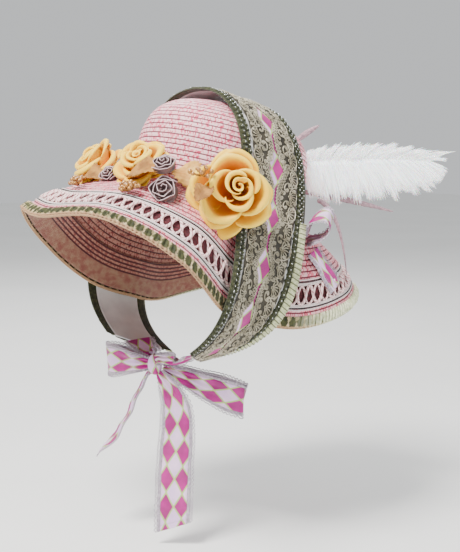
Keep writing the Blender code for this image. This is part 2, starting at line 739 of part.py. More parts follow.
def make_blossom(name, seat, way, radius, depth, whorls, sides, carriers, material, turn=0.0):
    """A rose as one body: rings of petal lips and hollows round a heart, over a narrow foot."""
    side, up = facing_frame(way, turn)
    points, faces = [], []

    def ring(whorl):
        for k in range(sides):
            a = 2 * pi * k / sides
            swell = 1 + whorl.wave * cos(whorl.lobes * a + whorl.turn)
            rise = depth * whorl.height * (1 + 0.6 * whorl.wave * sin(whorl.lobes * a))
            out = radius * whorl.radius * swell
            points.append(seat + side * (out * cos(a)) + up * (out * sin(a)) + way * rise)

    points.append(seat + way * depth * HEART)
    for whorl in whorls:
        ring(whorl)
    points.append(Vector(seat))
    faces += [(0, 1 + k, 1 + (k + 1) % sides) for k in range(sides)]
    for row in range(len(whorls) - 1):
        for k in range(sides):
            a, b = 1 + row * sides + k, 1 + row * sides + (k + 1) % sides
            faces.append((a, b, b + sides, a + sides))
    last = 1 + (len(whorls) - 1) * sides
    faces += [(last + k, last + (k + 1) % sides, len(points) - 1) for k in range(sides)]
    points = settle(points, faces, way, carriers)
    build_piece(name, points, faces, material)


def make_leaf(name, seat, way, length, width, turn, carriers):
    """A folded fabric leaf: pointed at its tip, cupped along its midrib."""
    ahead, across = facing_frame(way, turn)
    over, under = [], []
    for k in range(LEAF_ROWS + 1):
        s = k / LEAF_ROWS
        half = width / 2 * max(sin(pi * (0.08 + 0.88 * s)) ** 0.8, 0.12)
        spine = seat + ahead * (length * (s - 0.5)) + way * (0.16 * length * sin(pi * s))
        row_over, row_under = [], []
        for j in (-1, 0, 1):
            point = spine + across * (half * j) + way * (0.3 * half * abs(j))
            row_over.append(point + way * LEAF)
            row_under.append(point)
        over.append(row_over)
        under.append(row_under)
    points, faces = slab(over, under)
    points = settle(points, faces, way, carriers)
    build_piece(name, points, faces, TAN_LEAF)


def add_ball(name, centre, radius, squash=1.0, subdivisions=1):
    mesh = bpy.data.meshes.new(name)
    work = bmesh.new()
    bmesh.ops.create_icosphere(work, subdivisions=subdivisions, radius=radius)
    for v in work.verts:
        v.co.z *= squash
        v.co += centre
    work.to_mesh(mesh)
    work.free()
    ball = bpy.data.objects.new(name, mesh)
    bpy.context.collection.objects.link(ball)
    return ball


def make_berries(name, seat, way, count, carriers):
    """A cluster of berries fused to its heart."""
    side, up = facing_frame(way)
    body = add_ball(name, Vector((0, 0, 0)), BERRY_HEART)
    balls = []
    for k in range(count):
        out = BERRY_SPREAD * ((k + 0.5) / count) ** 0.5
        a = k * pi * (3 - 5 ** 0.5)
        high = (max(BERRY_HEART ** 2 - (out * 0.8) ** 2, 0.0)) ** 0.5
        place = Vector((out * cos(a) * BERRY_STRETCH, out * sin(a), high))
        balls.append(add_ball(f"{name}_ball", place, BERRY))
    for v in body.data.vertices:
        v.co.x *= BERRY_STRETCH
        v.co.z = max(v.co.z, -BERRY_HEART * 0.4)
    for ball in balls:
        union = body.modifiers.new("union", "BOOLEAN")
        union.operation = "UNION"
        union.object = ball
    evaluated = body.evaluated_get(bpy.context.evaluated_depsgraph_get())
    mesh = bpy.data.meshes.new_from_object(evaluated)
    turn = Matrix((side, up, way)).transposed()
    points = [seat + turn @ v.co for v in mesh.vertices]
    faces = [tuple(f.vertices) for f in mesh.polygons]
    for item in balls + [body]:
        bpy.data.objects.remove(item, do_unlink=True)
    triangles = []
    for face in faces:
        triangles += [(face[0], face[n], face[n + 1]) for n in range(1, len(face) - 1)]
    points = settle(points, triangles, way, carriers)
    build_piece(name, points, faces, BERRY_GOLD)


def feather_body(root, path_way, bend_way, width_way, length, upper, lower, thickness, rows, lock):
    """A feather as one body: a curved quill line with vane edges above and below it, cut into locks."""
    face_way = path_way.cross(width_way).normalized()
    rings = []
    for k in range(rows + 1):
        s = k / rows
        centre = root + path_way * (length * s) + bend_way * (length * s * s)
        taper = max(sin(pi * min(VANE_START + VANE_RUN * s, 1.0)) ** VANE_FULLNESS, VANE_TIP)
        cut = 1 - lock * (k % 2)
        thick = thickness / 2 * max(1 - s, THIN_TIP)
        rings.append([
            centre + width_way * (upper * taper * cut) - path_way * (lock * upper * 0.6 * (k % 2)),
            centre + face_way * thick,
            centre - width_way * (lower * taper * cut),
            centre - face_way * thick,
        ])
    return loft(rings)


def knot_reach(way):
    """Where a plane square to a direction touches the knot."""
    return max((p - KNOT).dot(way) for p in SKINS["bow_knot"][0])


def make_knot():
    rings = []
    half = (KNOT_WIDTH / 2, KNOT_DEPTH / 2, KNOT_HEIGHT / 2)
    for i in range(1, KNOT_RINGS):
        a = pi * i / KNOT_RINGS
        ring = []
        for k in range(KNOT_SIDES):
            b = 2 * pi * k / KNOT_SIDES
            square = (abs(cos(b)) ** 4 + abs(sin(b)) ** 4) ** -0.25
            out = sin(a) ** 0.6 * square
            ring.append(KNOT + Vector((half[0] * out * cos(b), half[1] * out * sin(b), -half[2] * cos(a))))
        rings.append(ring)
    points, faces = loft(rings)
    build_piece("bow_knot", points, faces, HARLEQUIN)


def from_knot(way, out=0.0):
    return KNOT + way * (knot_reach(way) + GAP + out)


def make_bow():
    make_knot()
    flat = Vector((0, 0, 1))
    for name, bearing, rise, length in (
            ("bow_loop_left", LEFT_LOOP_BEARING, LEFT_LOOP_RISE, LEFT_LOOP),
            ("bow_loop_right", RIGHT_LOOP_BEARING, RIGHT_LOOP_RISE, RIGHT_LOOP)):
        way = heading(bearing, rise)
        off = way.cross(flat).normalized()
        start_point = from_knot(way)
        path = [start_point + way * (length * p.out) + off * (LOOP_OPEN * p.aside) for p in LOOP_PATH]
        widths = [RIBBON_WIDTH * mix(PINCH, 1.0, min(1.0, p.out * LOOP_SPREAD)) for p in LOOP_PATH]
        points, faces = ribbon_body(path, [flat] * len(path), widths, RIBBON, steps=16)
        build_piece(name, points, faces, HARLEQUIN)
    for name, side, bearing in (("tie_left", 1, LEFT_TIE_BEARING), ("tie_right", -1, RIGHT_TIE_BEARING)):
        station = BAND_STATIONS if side == 1 else 0
        hem = band_point(station - side * TIE_LAP, 0.5, -TIE_LIFT - RIBBON / 2)
        across = (band_point(station, 1.0) - band_point(station, 0.0)).normalized()
        way = heading(bearing, TIE_RISE)
        end = from_knot(way, GAP)
        leave = hem + (band_point(station, 0.5) - band_point(station - side, 0.5)) * TIE_RUN
        near = end + way * TIE_LEAD
        path = [hem, leave, leave.lerp(near, 0.5), near, end]
        last = flat * -side
        acrosses = [across, across, across.lerp(last, TIE_TWIST), last, last]
        widths = [RIBBON_WIDTH * share for share in TIE_WIDTHS]
        points, faces = ribbon_body(path, acrosses, widths, RIBBON, steps=10)
        build_piece(name, points, faces, HARLEQUIN)
    for tail in TAILS:
        way = heading(tail.lead_bearing, -tail.lead_fall)
        start_point = from_knot(way)
        bend = start_point + way * (tail.length * tail.lead)
        end = bend + heading(tail.bearing, -tail.fall) * (tail.length * (1 - tail.lead))
        path = [start_point, bend, bend.lerp(end, 0.5) - flat * (tail.length * tail.bow), end]
        last = heading(tail.across, 0)
        acrosses = [heading(tail.across_start, 0), last, last, last]
        widths = [RIBBON_WIDTH * PINCH] + [RIBBON_WIDTH * tail.spread * share for share in TAIL_WIDTHS]
        points, faces = ribbon_body(path, acrosses, widths, RIBBON, steps=12)
        build_piece(tail.name, points, faces, HARLEQUIN)


def make_rear_bow():
    """A loop and a tail of ribbon on the brim's left rear, behind the band."""
    angle = radians(REAR_BOW_ANGLE)
    root = brim_point(angle, REAR_BOW_SHARE, GAP + RIBBON)
    up = (brim_point(angle, REAR_BOW_SHARE, 1.0) - root).normalized()
    out = (brim_point(angle, REAR_BOW_SHARE + 0.1) - brim_point(angle, REAR_BOW_SHARE)).normalized()
    side = up.cross(out)
    turn = radians(REAR_LOOP_TURN)
    ahead, across = out * cos(turn) + side * sin(turn), side * cos(turn) - out * sin(turn)
    path = [root + ahead * (REAR_LOOP * p.along) + up * (REAR_LOOP * p.off) for p in REAR_LOOP_PATH]
    widths = [RIBBON_WIDTH * p.width for p in REAR_LOOP_PATH]
    points, faces = ribbon_body(path, [across] * len(path), widths, RIBBON)
    points = settle(points, faces, up, list(HATS + BANDS))
    build_piece("rear_loop", points, faces, HARLEQUIN)
    path = []
    for k in range(REAR_TAIL_POINTS):
        share = REAR_BOW_SHARE + REAR_TAIL_FROM + REAR_TAIL * k / (REAR_TAIL_POINTS - 1)
        path.append(brim_point(angle + radians(REAR_TAIL_TURN) * k, share, REAR_TAIL_LIFT))
    widths = [RIBBON_WIDTH * REAR_TAIL_WIDTH] * REAR_TAIL_POINTS
    points, faces = ribbon_body(path, [side] * REAR_TAIL_POINTS, widths, RIBBON, steps=8, columns=2)
    points = settle(points, faces, up, list(HATS + BANDS + ("rear_loop",)))
    build_piece("rear_tail", points, faces, HARLEQUIN)


def place_of(bloom):
    return brim_point(radians(bloom.angle), bloom.share, bloom.lift), heading(bloom.bearing, bloom.rise)


def make_flowers(carriers):
    """Roses, leaves, ribbon roses and berries, each settled on what is already there."""
    for bloom in ROSES:
        make_blossom(bloom.name, *place_of(bloom), bloom.radius, bloom.depth, ROSE_WHORLS, ROSE_SIDES, carriers,
                     YELLOW_ROSE, bloom.turn)
        carriers.append(bloom.name)
    for bloom in LEAVES:
        make_leaf(bloom.name, *place_of(bloom), bloom.radius, bloom.depth, bloom.turn, carriers)
        carriers.append(bloom.name)
    for bloom in RIBBON_ROSES:
        make_blossom(bloom.name, *place_of(bloom), bloom.radius, bloom.depth, SMALL_WHORLS, RIBBON_ROSE_SIDES,
                     carriers, MAUVE_RIBBON, bloom.turn)
        carriers.append(bloom.name)
    for bloom in BERRY_CLUSTERS:
        make_berries(bloom.name, *place_of(bloom), bloom.radius, carriers)
        carriers.append(bloom.name)


def make_feather(feather, length, upper, lower, thickness, rows, lock, material, carriers):
    """A feather whose root is settled on the crown's side."""
    profile = crown_profile(PROFILE_STEPS)
    radius_share, height_share = min(profile, key=lambda pair: abs(pair[1] - feather.height))
    root = crown_point(radians(feather.angle), radius_share, height_share, -QUILL_ROOT)
    way = heading(feather.bearing, feather.rise)
    across = (Vector((0, 0, 1)) - way * way.z).normalized()
    points, faces = feather_body(
        root, way, across * feather.bend, across, length, upper, lower, thickness, rows, lock)
    points = settle(points, faces, heading(feather.angle, 0), carriers)
    build_piece(feather.name, points, faces, material)
    carriers.append(feather.name)


def make_feathers(carriers):
    for biot in BIOTS:
        make_feather(biot, biot.length, biot.width, biot.width, BIOT_THICKNESS, BIOT_ROWS, 0.0, MAUVE_FEATHER,
                     carriers)
    make_feather(PLUME_PLACE, PLUME, PLUME_UPPER, PLUME_LOWER, PLUME_THICKNESS, PLUME_ROWS, PLUME_LOCK,
                 WHITE_PLUME, carriers)


FRAME = start()
HATS = ("straw_crown", "straw_brim", "openwork_braid", "straw_edge", "edge_ruffle")
BANDS = ("band_base", "band_harlequin", "band_lace_front", "band_lace_rear", "band_trim_front", "band_trim_rear")

PINK_STRAW = finish("pink_straw", (0.80, 0.55, 0.52), 0.7)
NET_CLOTH = finish("net_cloth", (0.30, 0.18, 0.18), 0.8)
WHITE_CORD = finish("white_cord", (0.85, 0.80, 0.77), 0.7)
OLIVE = finish("olive_velvet", (0.12, 0.13, 0.06), 0.9)
WHITE_SATIN = finish("white_satin", (0.85, 0.82, 0.80), 0.4)
HARLEQUIN = finish("harlequin_ribbon", (0.75, 0.35, 0.65), 0.45)
GUIPURE = finish("guipure_lace", (0.42, 0.39, 0.30), 0.5, 0.4)
YELLOW_ROSE = finish("yellow_rose", (0.93, 0.62, 0.20), 0.7)
MAUVE_RIBBON = finish("mauve_ribbon", (0.35, 0.24, 0.24), 0.5)
TAN_LEAF = finish("tan_leaf", (0.62, 0.40, 0.22), 0.8)
BERRY_GOLD = finish("berry_gold", (0.62, 0.45, 0.24), 0.35, 0.3)
WHITE_PLUME = finish("white_plume", (0.92, 0.92, 0.90), 0.9)
MAUVE_FEATHER = finish("mauve_feather", (0.40, 0.28, 0.30), 0.8)

make_crown(PINK_STRAW)
make_brim(PINK_STRAW)
NET_TOP = -STRAW - 2 * GAP
strip("brim_net", [NET_FROM + GAP / BRIM_WIDTH, NET_TO, RUFFLE_FROM, STRAW_TO], NET_TOP, NET_TOP - NET, NET_CLOTH)
make_openwork(WHITE_CORD)
strip("straw_edge", [NET_TO, RUFFLE_FROM, STRAW_TO], 0.0, -STRAW, PINK_STRAW)
make_ruffle(OLIVE)
make_band()
make_bow()
make_rear_bow()
BUILT = list(HATS + BANDS + ("rear_loop", "rear_tail"))
make_flowers(BUILT)
make_feathers(BUILT)
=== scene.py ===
"""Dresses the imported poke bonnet: sewn straw braid, openwork, lace, ribbons, roses, berries and a plume.

Metres, +Z up, the wearer faces -Y. The origin is the inner top of the crown, as in the part's source.
A surface (crown, brim, band) is kept as an even grid; strips, cords and motifs are laid on it by
place: u along, v across, and a lift off it.
"""
from collections import namedtuple
from math import cos, hypot, pi, radians, sin

import bmesh
import bpy
import numpy as np
from mathutils import Matrix, Vector
from mathutils.bvhtree import BVHTree


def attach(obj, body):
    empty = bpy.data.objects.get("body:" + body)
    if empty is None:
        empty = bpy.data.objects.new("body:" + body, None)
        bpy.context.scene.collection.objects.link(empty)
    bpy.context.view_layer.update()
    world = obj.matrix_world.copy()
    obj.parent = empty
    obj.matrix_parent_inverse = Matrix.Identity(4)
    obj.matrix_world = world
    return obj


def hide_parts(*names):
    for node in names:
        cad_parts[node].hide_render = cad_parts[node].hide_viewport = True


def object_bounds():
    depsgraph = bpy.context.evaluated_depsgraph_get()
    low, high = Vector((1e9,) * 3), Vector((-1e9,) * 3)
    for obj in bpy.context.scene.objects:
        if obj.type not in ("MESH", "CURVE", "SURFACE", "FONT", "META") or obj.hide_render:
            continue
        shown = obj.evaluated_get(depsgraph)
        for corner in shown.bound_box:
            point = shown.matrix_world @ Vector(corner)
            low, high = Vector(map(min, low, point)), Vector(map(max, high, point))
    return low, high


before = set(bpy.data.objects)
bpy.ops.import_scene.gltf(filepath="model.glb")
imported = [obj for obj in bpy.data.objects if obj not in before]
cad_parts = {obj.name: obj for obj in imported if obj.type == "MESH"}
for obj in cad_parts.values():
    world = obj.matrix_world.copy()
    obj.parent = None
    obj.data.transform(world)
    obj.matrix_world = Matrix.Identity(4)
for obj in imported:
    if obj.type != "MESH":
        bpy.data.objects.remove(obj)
CAD_LOW, CAD_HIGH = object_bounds()
ROOT = "root"

# Hat, as in the part's source
GAP = 0.0003
TILT = radians(17.5)
STRAW = 0.0024
CROWN_HALF_WIDTH = 0.088
CROWN_HALF_LENGTH = 0.097
CROWN_HEIGHT = 0.105
CROWN_SIDE_POWER = 3.0
CROWN_TOP_POWER = 5.2
BRIM_WIDTH = 0.122
Rib = namedtuple("Rib", "angle width droop")
BRIM_RIBS = (
    Rib(0, 1.00, 33),
    Rib(25, 0.95, 30),
    Rib(50, 0.98, 43),
    Rib(70, 0.985, 70),
    Rib(90, 0.965, 78),
    Rib(110, 0.99, 67),
    Rib(130, 0.92, 48),
    Rib(155, 0.81, 30),
    Rib(180, 0.84, 36),
)
SHALLOW_DROOP, STEEP_DROOP = 30, 78
SHALLOW_BEND, STEEP_BEND, BEND_DROP = 0.55, 0.95, 0.2
NET_FROM, NET_TO = 0.63, 0.825
RUFFLE_FROM, STRAW_TO, RUFFLE_REACH = 0.90, 0.97, 0.99
CROWN_ROW = 0.0052           # pitch of the sewn rows
BRIM_ROW = 0.0060
ROW_RELIEF = 0.0009

# Band, as in the part's source
BAND_WIDTH = 0.058
BAND_STATIONS = 36
BAND_STAND = 0.007
BAND_CLEARANCE = 0.0024
BAND_FEEL = 0.010
BAND_EASING = 8
FEELERS = 9
FRONT_SWEEP, REAR_SWEEP = radians(153), radians(167)
FLAP_RADIUS = 0.160
Station = namedtuple("Station", "share front rear radius stand")
BAND_ROWS = (
    Station(0.00, -0.125, 0.38, 0.20, 1.0),
    Station(0.28, -0.16, 0.41, 0.20, 0.6),
    Station(0.52, -0.28, 0.36, 0.40, 0.1),
    Station(0.68, -0.57, 0.00, 0.60, 0.0),
    Station(0.85, -0.78, -0.33, 1.02, 0.0),
    Station(1.00, -0.82, -0.44, 1.00, 0.0),
)
LACE_FROM = 0.12
HARLEQUIN_HALF = 0.21
BAND_LINES = (-0.25, 0.0, LACE_FROM, 0.5 - HARLEQUIN_HALF, 0.5 + HARLEQUIN_HALF, 1 - LACE_FROM, 1.0, 1.28)
EYE_PERIOD = 0.054
EYE_OPEN, EYE_SHUT, EYE_SHARPNESS = 0.15, 0.02, 3
PLEAT = 0.0046               # pitch of the ruffle's pleats
PRESSED_AT, PRESSED_HALF = 80, 30
RIBBON_WIDTH = 0.032
RIBBON = 0.0010


# Points and meshes

def unit(v):
    """Vectors of a grid brought to length one."""
    return v / np.maximum(np.linalg.norm(v, axis=-1, keepdims=True), 1e-12)


def smooth_step(x):
    x = np.clip(x, 0.0, 1.0)
    return x * x * (3 - 2 * x)


def mix(a, b, share):
    return a + (b - a) * share


def read_rows(rows, key, column, at, flat_end=True):
    """Values of a table's column at places between its rows, on a smooth curve."""
    keys = np.array([getattr(row, key) for row in rows], float)
    values = np.array([getattr(row, column) for row in rows], float)
    slopes = np.zeros(len(keys))
    slopes[1:-1] = (values[2:] - values[:-2]) / (keys[2:] - keys[:-2])
    if not flat_end:
        slopes[-1] = (values[-1] - values[-2]) / (keys[-1] - keys[-2])
    at = np.clip(np.asarray(at, float), keys[0], keys[-1])
    i = np.clip(np.searchsorted(keys, at, side="right") - 1, 0, len(keys) - 2)
    step = keys[i + 1] - keys[i]
    x = (at - keys[i]) / step
    rise = values[i + 1] - values[i]
    near, far = slopes[i] * step, slopes[i + 1] * step
    return values[i] + x * (near + x * (3 * rise - 2 * near - far + x * (near + far - 2 * rise)))


class Surface:
    """A smooth surface as an even grid of points over u and v, read with a lift off its outer face."""

    def __init__(self, points, v_low, v_high, wrap, outward):
        self.points, self.v_low, self.v_high, self.wrap = points, v_low, v_high, wrap
        if wrap:
            along = np.roll(points, -1, 0) - np.roll(points, 1, 0)
        else:
            along = np.gradient(points, axis=0)
        self.normals = unit(np.cross(along, np.gradient(points, axis=1))) * outward

    def at(self, u, v, lift=0.0):
        u, v, lift = np.broadcast_arrays(np.asarray(u, float), v, lift)
        rows, columns = self.points.shape[:2]
        x = (u % 1.0) * rows if self.wrap else np.clip(u, 0, 1) * (rows - 1)
        y = np.clip((v - self.v_low) / (self.v_high - self.v_low), 0, 1) * (columns - 1)
        i = np.floor(x).astype(int) if self.wrap else np.clip(np.floor(x).astype(int), 0, rows - 2)
        j = np.clip(np.floor(y).astype(int), 0, columns - 2)
        fx, fy = (x - i)[..., None], (y - j)[..., None]
        i %= rows
        n = (i + 1) % rows

        def read(grid):
            low = grid[i, j] * (1 - fx) + grid[n, j] * fx
            high = grid[i, j + 1] * (1 - fx) + grid[n, j + 1] * fx
            return low * (1 - fy) + high * fy

        return read(self.points) + unit(read(self.normals)) * lift[..., None]


def put(name, data):
    """An object in the scene, of a mesh, a lamp or a camera."""
    thing = bpy.data.objects.new(name, data)
    bpy.context.scene.collection.objects.link(thing)
    return thing


def make_piece(name, points, faces, material=None, uv=None, outward=False):
    """A smooth mesh object; uv holds one pair for each corner of each face."""
    mesh = bpy.data.meshes.new(name)
    mesh.from_pydata(points, [], faces)
    if uv is not None:
        mesh.uv_layers.new(name="place").data.foreach_set("uv", np.asarray(uv, np.float32).ravel())
    mesh.shade_smooth()
    if outward:
        work = bmesh.new()
        work.from_mesh(mesh)
        bmesh.ops.recalc_face_normals(work, faces=work.faces)
        work.to_mesh(mesh)
        work.free()
    if material:
        mesh.materials.append(material)
    return put(name, mesh)


def wall(name, over, under, material, us, vs, wrap=False):
    """A closed wall between two grids of points, with a UV map of lengths in metres."""
    rows, columns = over.shape[:2]
    low = rows * columns
    us, vs = np.broadcast_to(us, (rows + wrap, columns)), np.broadcast_to(vs, (rows + wrap, columns))
    faces, uvs = [], []

    def add(*corners):
        """Faces from their corners: row, column, and 0 on the over grid or low on the under one."""
        faces.append(np.stack([(a % rows) * columns + b + side for a, b, side in corners], -1))
        uvs.append(np.stack([np.stack([us[a, b], vs[a, b]], -1) for a, b, _ in corners], 1))

    along, across = np.arange(rows if wrap else rows - 1), np.arange(columns - 1)
    i, j = (grid.ravel() for grid in np.meshgrid(along, across, indexing="ij"))
    add((i, j, 0), (i, j + 1, 0), (i + 1, j + 1, 0), (i + 1, j, 0))
    add((i + 1, j, low), (i + 1, j + 1, low), (i, j + 1, low), (i, j, low))
    for column in (0, columns - 1):
        edge = np.full_like(along, column)
        add((along, edge, 0), (along + 1, edge, 0), (along + 1, edge, low), (along, edge, low))
    if not wrap:
        for row in (0, rows - 1):
            end = np.full_like(across, row)
            add((end, across, 0), (end, across, low), (end, across + 1, low), (end, across + 1, 0))
    points = np.concatenate([over.reshape(-1, 3), under.reshape(-1, 3)])
    faces, uvs = np.concatenate(faces).tolist(), np.concatenate(uvs)
    return make_piece(name, points, faces, material, uvs, outward=True)


def paint_under(piece, each, material):
    """Gives a wall's under side, its second set of faces, a material of its own."""
    piece.data.materials.append(material)
    index = np.zeros(len(piece.data.polygons), np.int32)
    index[each:2 * each] = 1
    piece.data.polygons.foreach_set("material_index", index)


def along_lengths(points):
    """Length run from the start of a line of points."""
    return np.concatenate([[0.0], np.cumsum(np.linalg.norm(np.diff(points, axis=0), axis=1))])


def read_line(line, run, at):
    """Points of a line at other places of its run."""
    return np.stack([np.interp(at, run, line[:, k]) for k in range(3)], -1)


def tubes(paths, radii, sides, closed=False):
    """Points, faces and UVs of round cords along lines of points, all in one."""
    points, faces, uvs, base = [], [], [], 0
    turn = np.arange(sides) * 2 * pi / sides
    for path, radius in zip(paths, radii):
        path = np.asarray(path, float)
        count = len(path)
        ahead = unit((np.roll(path, -1, 0) - np.roll(path, 1, 0)) if closed else np.gradient(path, axis=0))
        side = np.zeros_like(path)
        start = np.cross(ahead[0], (0, 0, 1.0))
        side[0] = start if np.linalg.norm(start) > 0.1 else np.cross(ahead[0], (1.0, 0, 0))
        for k in range(count):
            before = side[k - 1] if k else side[0]
            side[k] = unit(before - ahead[k] * before.dot(ahead[k]))
        up = np.cross(ahead, side)
        radius = np.broadcast_to(radius, (count,))[:, None, None]
        ring = path[:, None] + radius * (side[:, None] * np.cos(turn)[None, :, None]
                                         + up[:, None] * np.sin(turn)[None, :, None])
        run = along_lengths(path)
        spans = count if closed else count - 1
        i, j = np.meshgrid(np.arange(spans), np.arange(sides), indexing="ij")
        i, j = i.ravel(), j.ravel()
        n, m = (i + 1) % count, (j + 1) % sides
        quads = np.stack([i * sides + j, i * sides + m, n * sides + m, n * sides + j], -1)
        faces += (base + quads).tolist()
        step = run[-1] / (count - 1)
        corners = ((i, j), (i, j + 1), (i + 1, j + 1), (i + 1, j))
        places = [np.stack([a * step, b / sides], -1) for a, b in corners]
        uvs += np.stack(places, 1).reshape(-1, 2).tolist()
        points.append(ring.reshape(-1, 3))
        if not closed:
            for end in (0, count - 1):
                cap = [base + end * sides + k for k in range(sides)]
                faces.append(cap[::-1] if end == 0 else cap)
                uvs += [(run[end], 0.5)] * sides
        base += count * sides
    return np.concatenate(points), faces, uvs


def cords(name, paths, radii, material, sides, closed=False):
    points, faces, uvs = tubes(paths, radii, sides, closed)
    return make_piece(name, points, faces, material, uvs)


def bend_piece(piece, place):
    """Moves every point of a piece to where place puts its three coordinates."""
    points = np.zeros(len(piece.data.vertices) * 3)
    piece.data.vertices.foreach_get("co", points)
    piece.data.vertices.foreach_set("co", place(*points.reshape(-1, 3).T).ravel())
    piece.data.update()
    return piece


def curve_through(points, count):
    """Even places on a smooth curve through a few points."""
    points = np.asarray(points, float)
    spans = len(points) - 1
    place = np.linspace(0, spans, count)
    i = np.minimum(place.astype(int), spans - 1)
    x = (place - i)[:, None]
    p0, p1, p2, p3 = (points[np.clip(i + k, 0, spans)] for k in (-1, 0, 1, 2))
    return 0.5 * (2 * p1 + (p2 - p0) * x + (2 * p0 - 5 * p1 + 4 * p2 - p3) * x ** 2
                  + (3 * p1 - p0 - 3 * p2 + p3) * x ** 3)


def kept(piece, slot, *nodes):
    """Every piece rides on the one body, and the solids it stands for are hidden; slot, the finish's name,
    is not used.
    """
    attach(piece, ROOT)
    if nodes:
        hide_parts(*nodes)
    return piece


# Materials

class Nodes:
    """Adds shader nodes to a tree and joins them."""

    def __init__(self, tree):
        self.tree = tree

    def add(self, kind, settings=None, **inputs):
        node = self.tree.nodes.new(kind)
        for key, value in (settings or {}).items():
            setattr(node, key, value)
        for key, value in inputs.items():
            self.feed(node.inputs[key.replace("_", " ")], value)
        return node

    def feed(self, socket, value):
        if isinstance(value, bpy.types.NodeSocket):
            self.tree.links.new(value, socket)
        elif value is not None:
            socket.default_value = value

    def math(self, operation, *values):
        node = self.add("ShaderNodeMath", {"operation": operation})
        for socket, value in zip(node.inputs, values):
            self.feed(socket, value)
        return node.outputs[0]

    def split(self, vector):
        return self.add("ShaderNodeSeparateXYZ", None, Vector=vector).outputs

    def blend(self, factor, a, b):
        """One colour laid over another; sockets 6 and 7 take the colours and 2 gives the result."""
        node = self.add("ShaderNodeMix", {"data_type": "RGBA"})
        for place, value in ((0, factor), (6, a), (7, b)):
            self.feed(node.inputs[place], value)
        return node.outputs[2]

    def ramp(self, value, low, high, start=0.0, end=1.0):
        """A value's range from low to high brought smoothly to start..end."""
        node = self.add("ShaderNodeMapRange", {"interpolation_type": "SMOOTHSTEP"})
        for socket, given in zip(node.inputs, (value, low, high, start, end)):
            self.feed(socket, given)
        return node.outputs[0]

    def noise(self, vector, scale, detail):
        return self.add("ShaderNodeTexNoise", None, Vector=vector, Scale=scale, Detail=detail).outputs[0]

    def mottle(self, tone, colour, shade):
        """A colour that turns to its shade where the tone is high."""
        return self.blend(self.ramp(tone, 0.3, 0.7), colour, shade)

    def off_middle(self, value):
        """How far a value is from the middle between two whole numbers, 0 to 0.5."""
        return self.math("ABSOLUTE", self.math("SUBTRACT", self.math("FRACT", value), 0.5))

    def chance(self, *values):
        """A random value for each whole-number cell."""
        joined = self.add("ShaderNodeCombineXYZ")
        for socket, value in zip(joined.inputs, values):
            self.feed(socket, value)
        return self.add("ShaderNodeTexWhiteNoise", None, Vector=joined.outputs[0]).outputs[0]


def new_group(name, inputs, outputs):
    """A shader node group with named sockets; inputs and outputs hold (name, socket type, default)."""
    group = bpy.data.node_groups.new(name, "ShaderNodeTree")
    for direction, sockets in (("INPUT", inputs), ("OUTPUT", outputs)):
        for socket_name, kind, default in sockets:
            socket = group.interface.new_socket(socket_name, in_out=direction, socket_type=kind)
            if default is not None and direction == "INPUT":
                socket.default_value = default
    nodes = Nodes(group)
    return group, nodes, nodes.add("NodeGroupInput").outputs, nodes.add("NodeGroupOutput").inputs


FLOAT, VECTOR = "NodeSocketFloat", "NodeSocketVector"


def make_braid_group():
    """Sewn straw braid: rows of plaited slanting straws, with a stitched groove between them."""
    group, n, given, out = new_group(
        "sewn_braid", [("Place", VECTOR, None), ("Row", FLOAT, 0.005), ("Straw", FLOAT, 0.0011)],
        [("Marl", FLOAT, None), ("Groove", FLOAT, None), ("Stitch", FLOAT, None), ("Height", FLOAT, None)])
    place = n.split(given["Place"])
    row = n.math("DIVIDE", place[1], given["Row"])
    across = n.off_middle(row)
    along = n.math("ADD", n.math("DIVIDE", place[0], given["Straw"]), n.math("MULTIPLY", across, 1.6))
    side = n.math("GREATER_THAN", n.math("FRACT", row), 0.5)
    marl = n.chance(n.math("FLOOR", along), n.math("FLOOR", row), side)
    straw = n.off_middle(along)
    n.feed(out["Marl"], marl)
    groove = n.ramp(across, 0.34, 0.41)
    n.feed(out["Groove"], groove)
    stitch = n.math("DIVIDE", place[0], n.math("MULTIPLY", given["Straw"], 1.3))
    dash = n.math("FRACT", n.math("ADD", stitch, n.math("MULTIPLY", n.math("FLOOR", row), 0.37)))
    n.feed(out["Stitch"], n.math("MULTIPLY", groove, n.ramp(dash, 0.10, 0.20)))
    height = n.math("SUBTRACT", n.ramp(straw, 0.5, 0.2), n.math("MULTIPLY", groove, 0.8))
    n.feed(out["Height"], height)
    return group


def make_weave_group():
    """Over-and-under weave of a cloth from its place in metres."""
    group, n, given, out = new_group(
        "cloth_weave", [("Place", VECTOR, None), ("Thread", FLOAT, 0.0005)],
        [("Height", FLOAT, None), ("Thread tone", FLOAT, None)])
    place = n.split(given["Place"])
    x = n.math("DIVIDE", place[0], given["Thread"])
    y = n.math("DIVIDE", place[1], given["Thread"])
    cell = n.math("ADD", n.math("FLOOR", x), n.math("FLOOR", y))
    over = n.math("ABSOLUTE", n.math("MODULO", cell, 2.0))
    warp = n.math("SINE", n.math("MULTIPLY", n.math("FRACT", x), pi))
    weft = n.math("SINE", n.math("MULTIPLY", n.math("FRACT", y), pi))
    under = n.math("MULTIPLY", weft, n.math("SUBTRACT", 1.0, over))
    n.feed(out["Height"], n.math("ADD", n.math("MULTIPLY", warp, over), under))
    n.feed(out["Thread tone"], n.chance(n.math("FLOOR", x), n.math("FLOOR", y), 0.0))
    return group


DIAMOND_WIDE, DIAMOND_LONG = 0.0157, 0.030


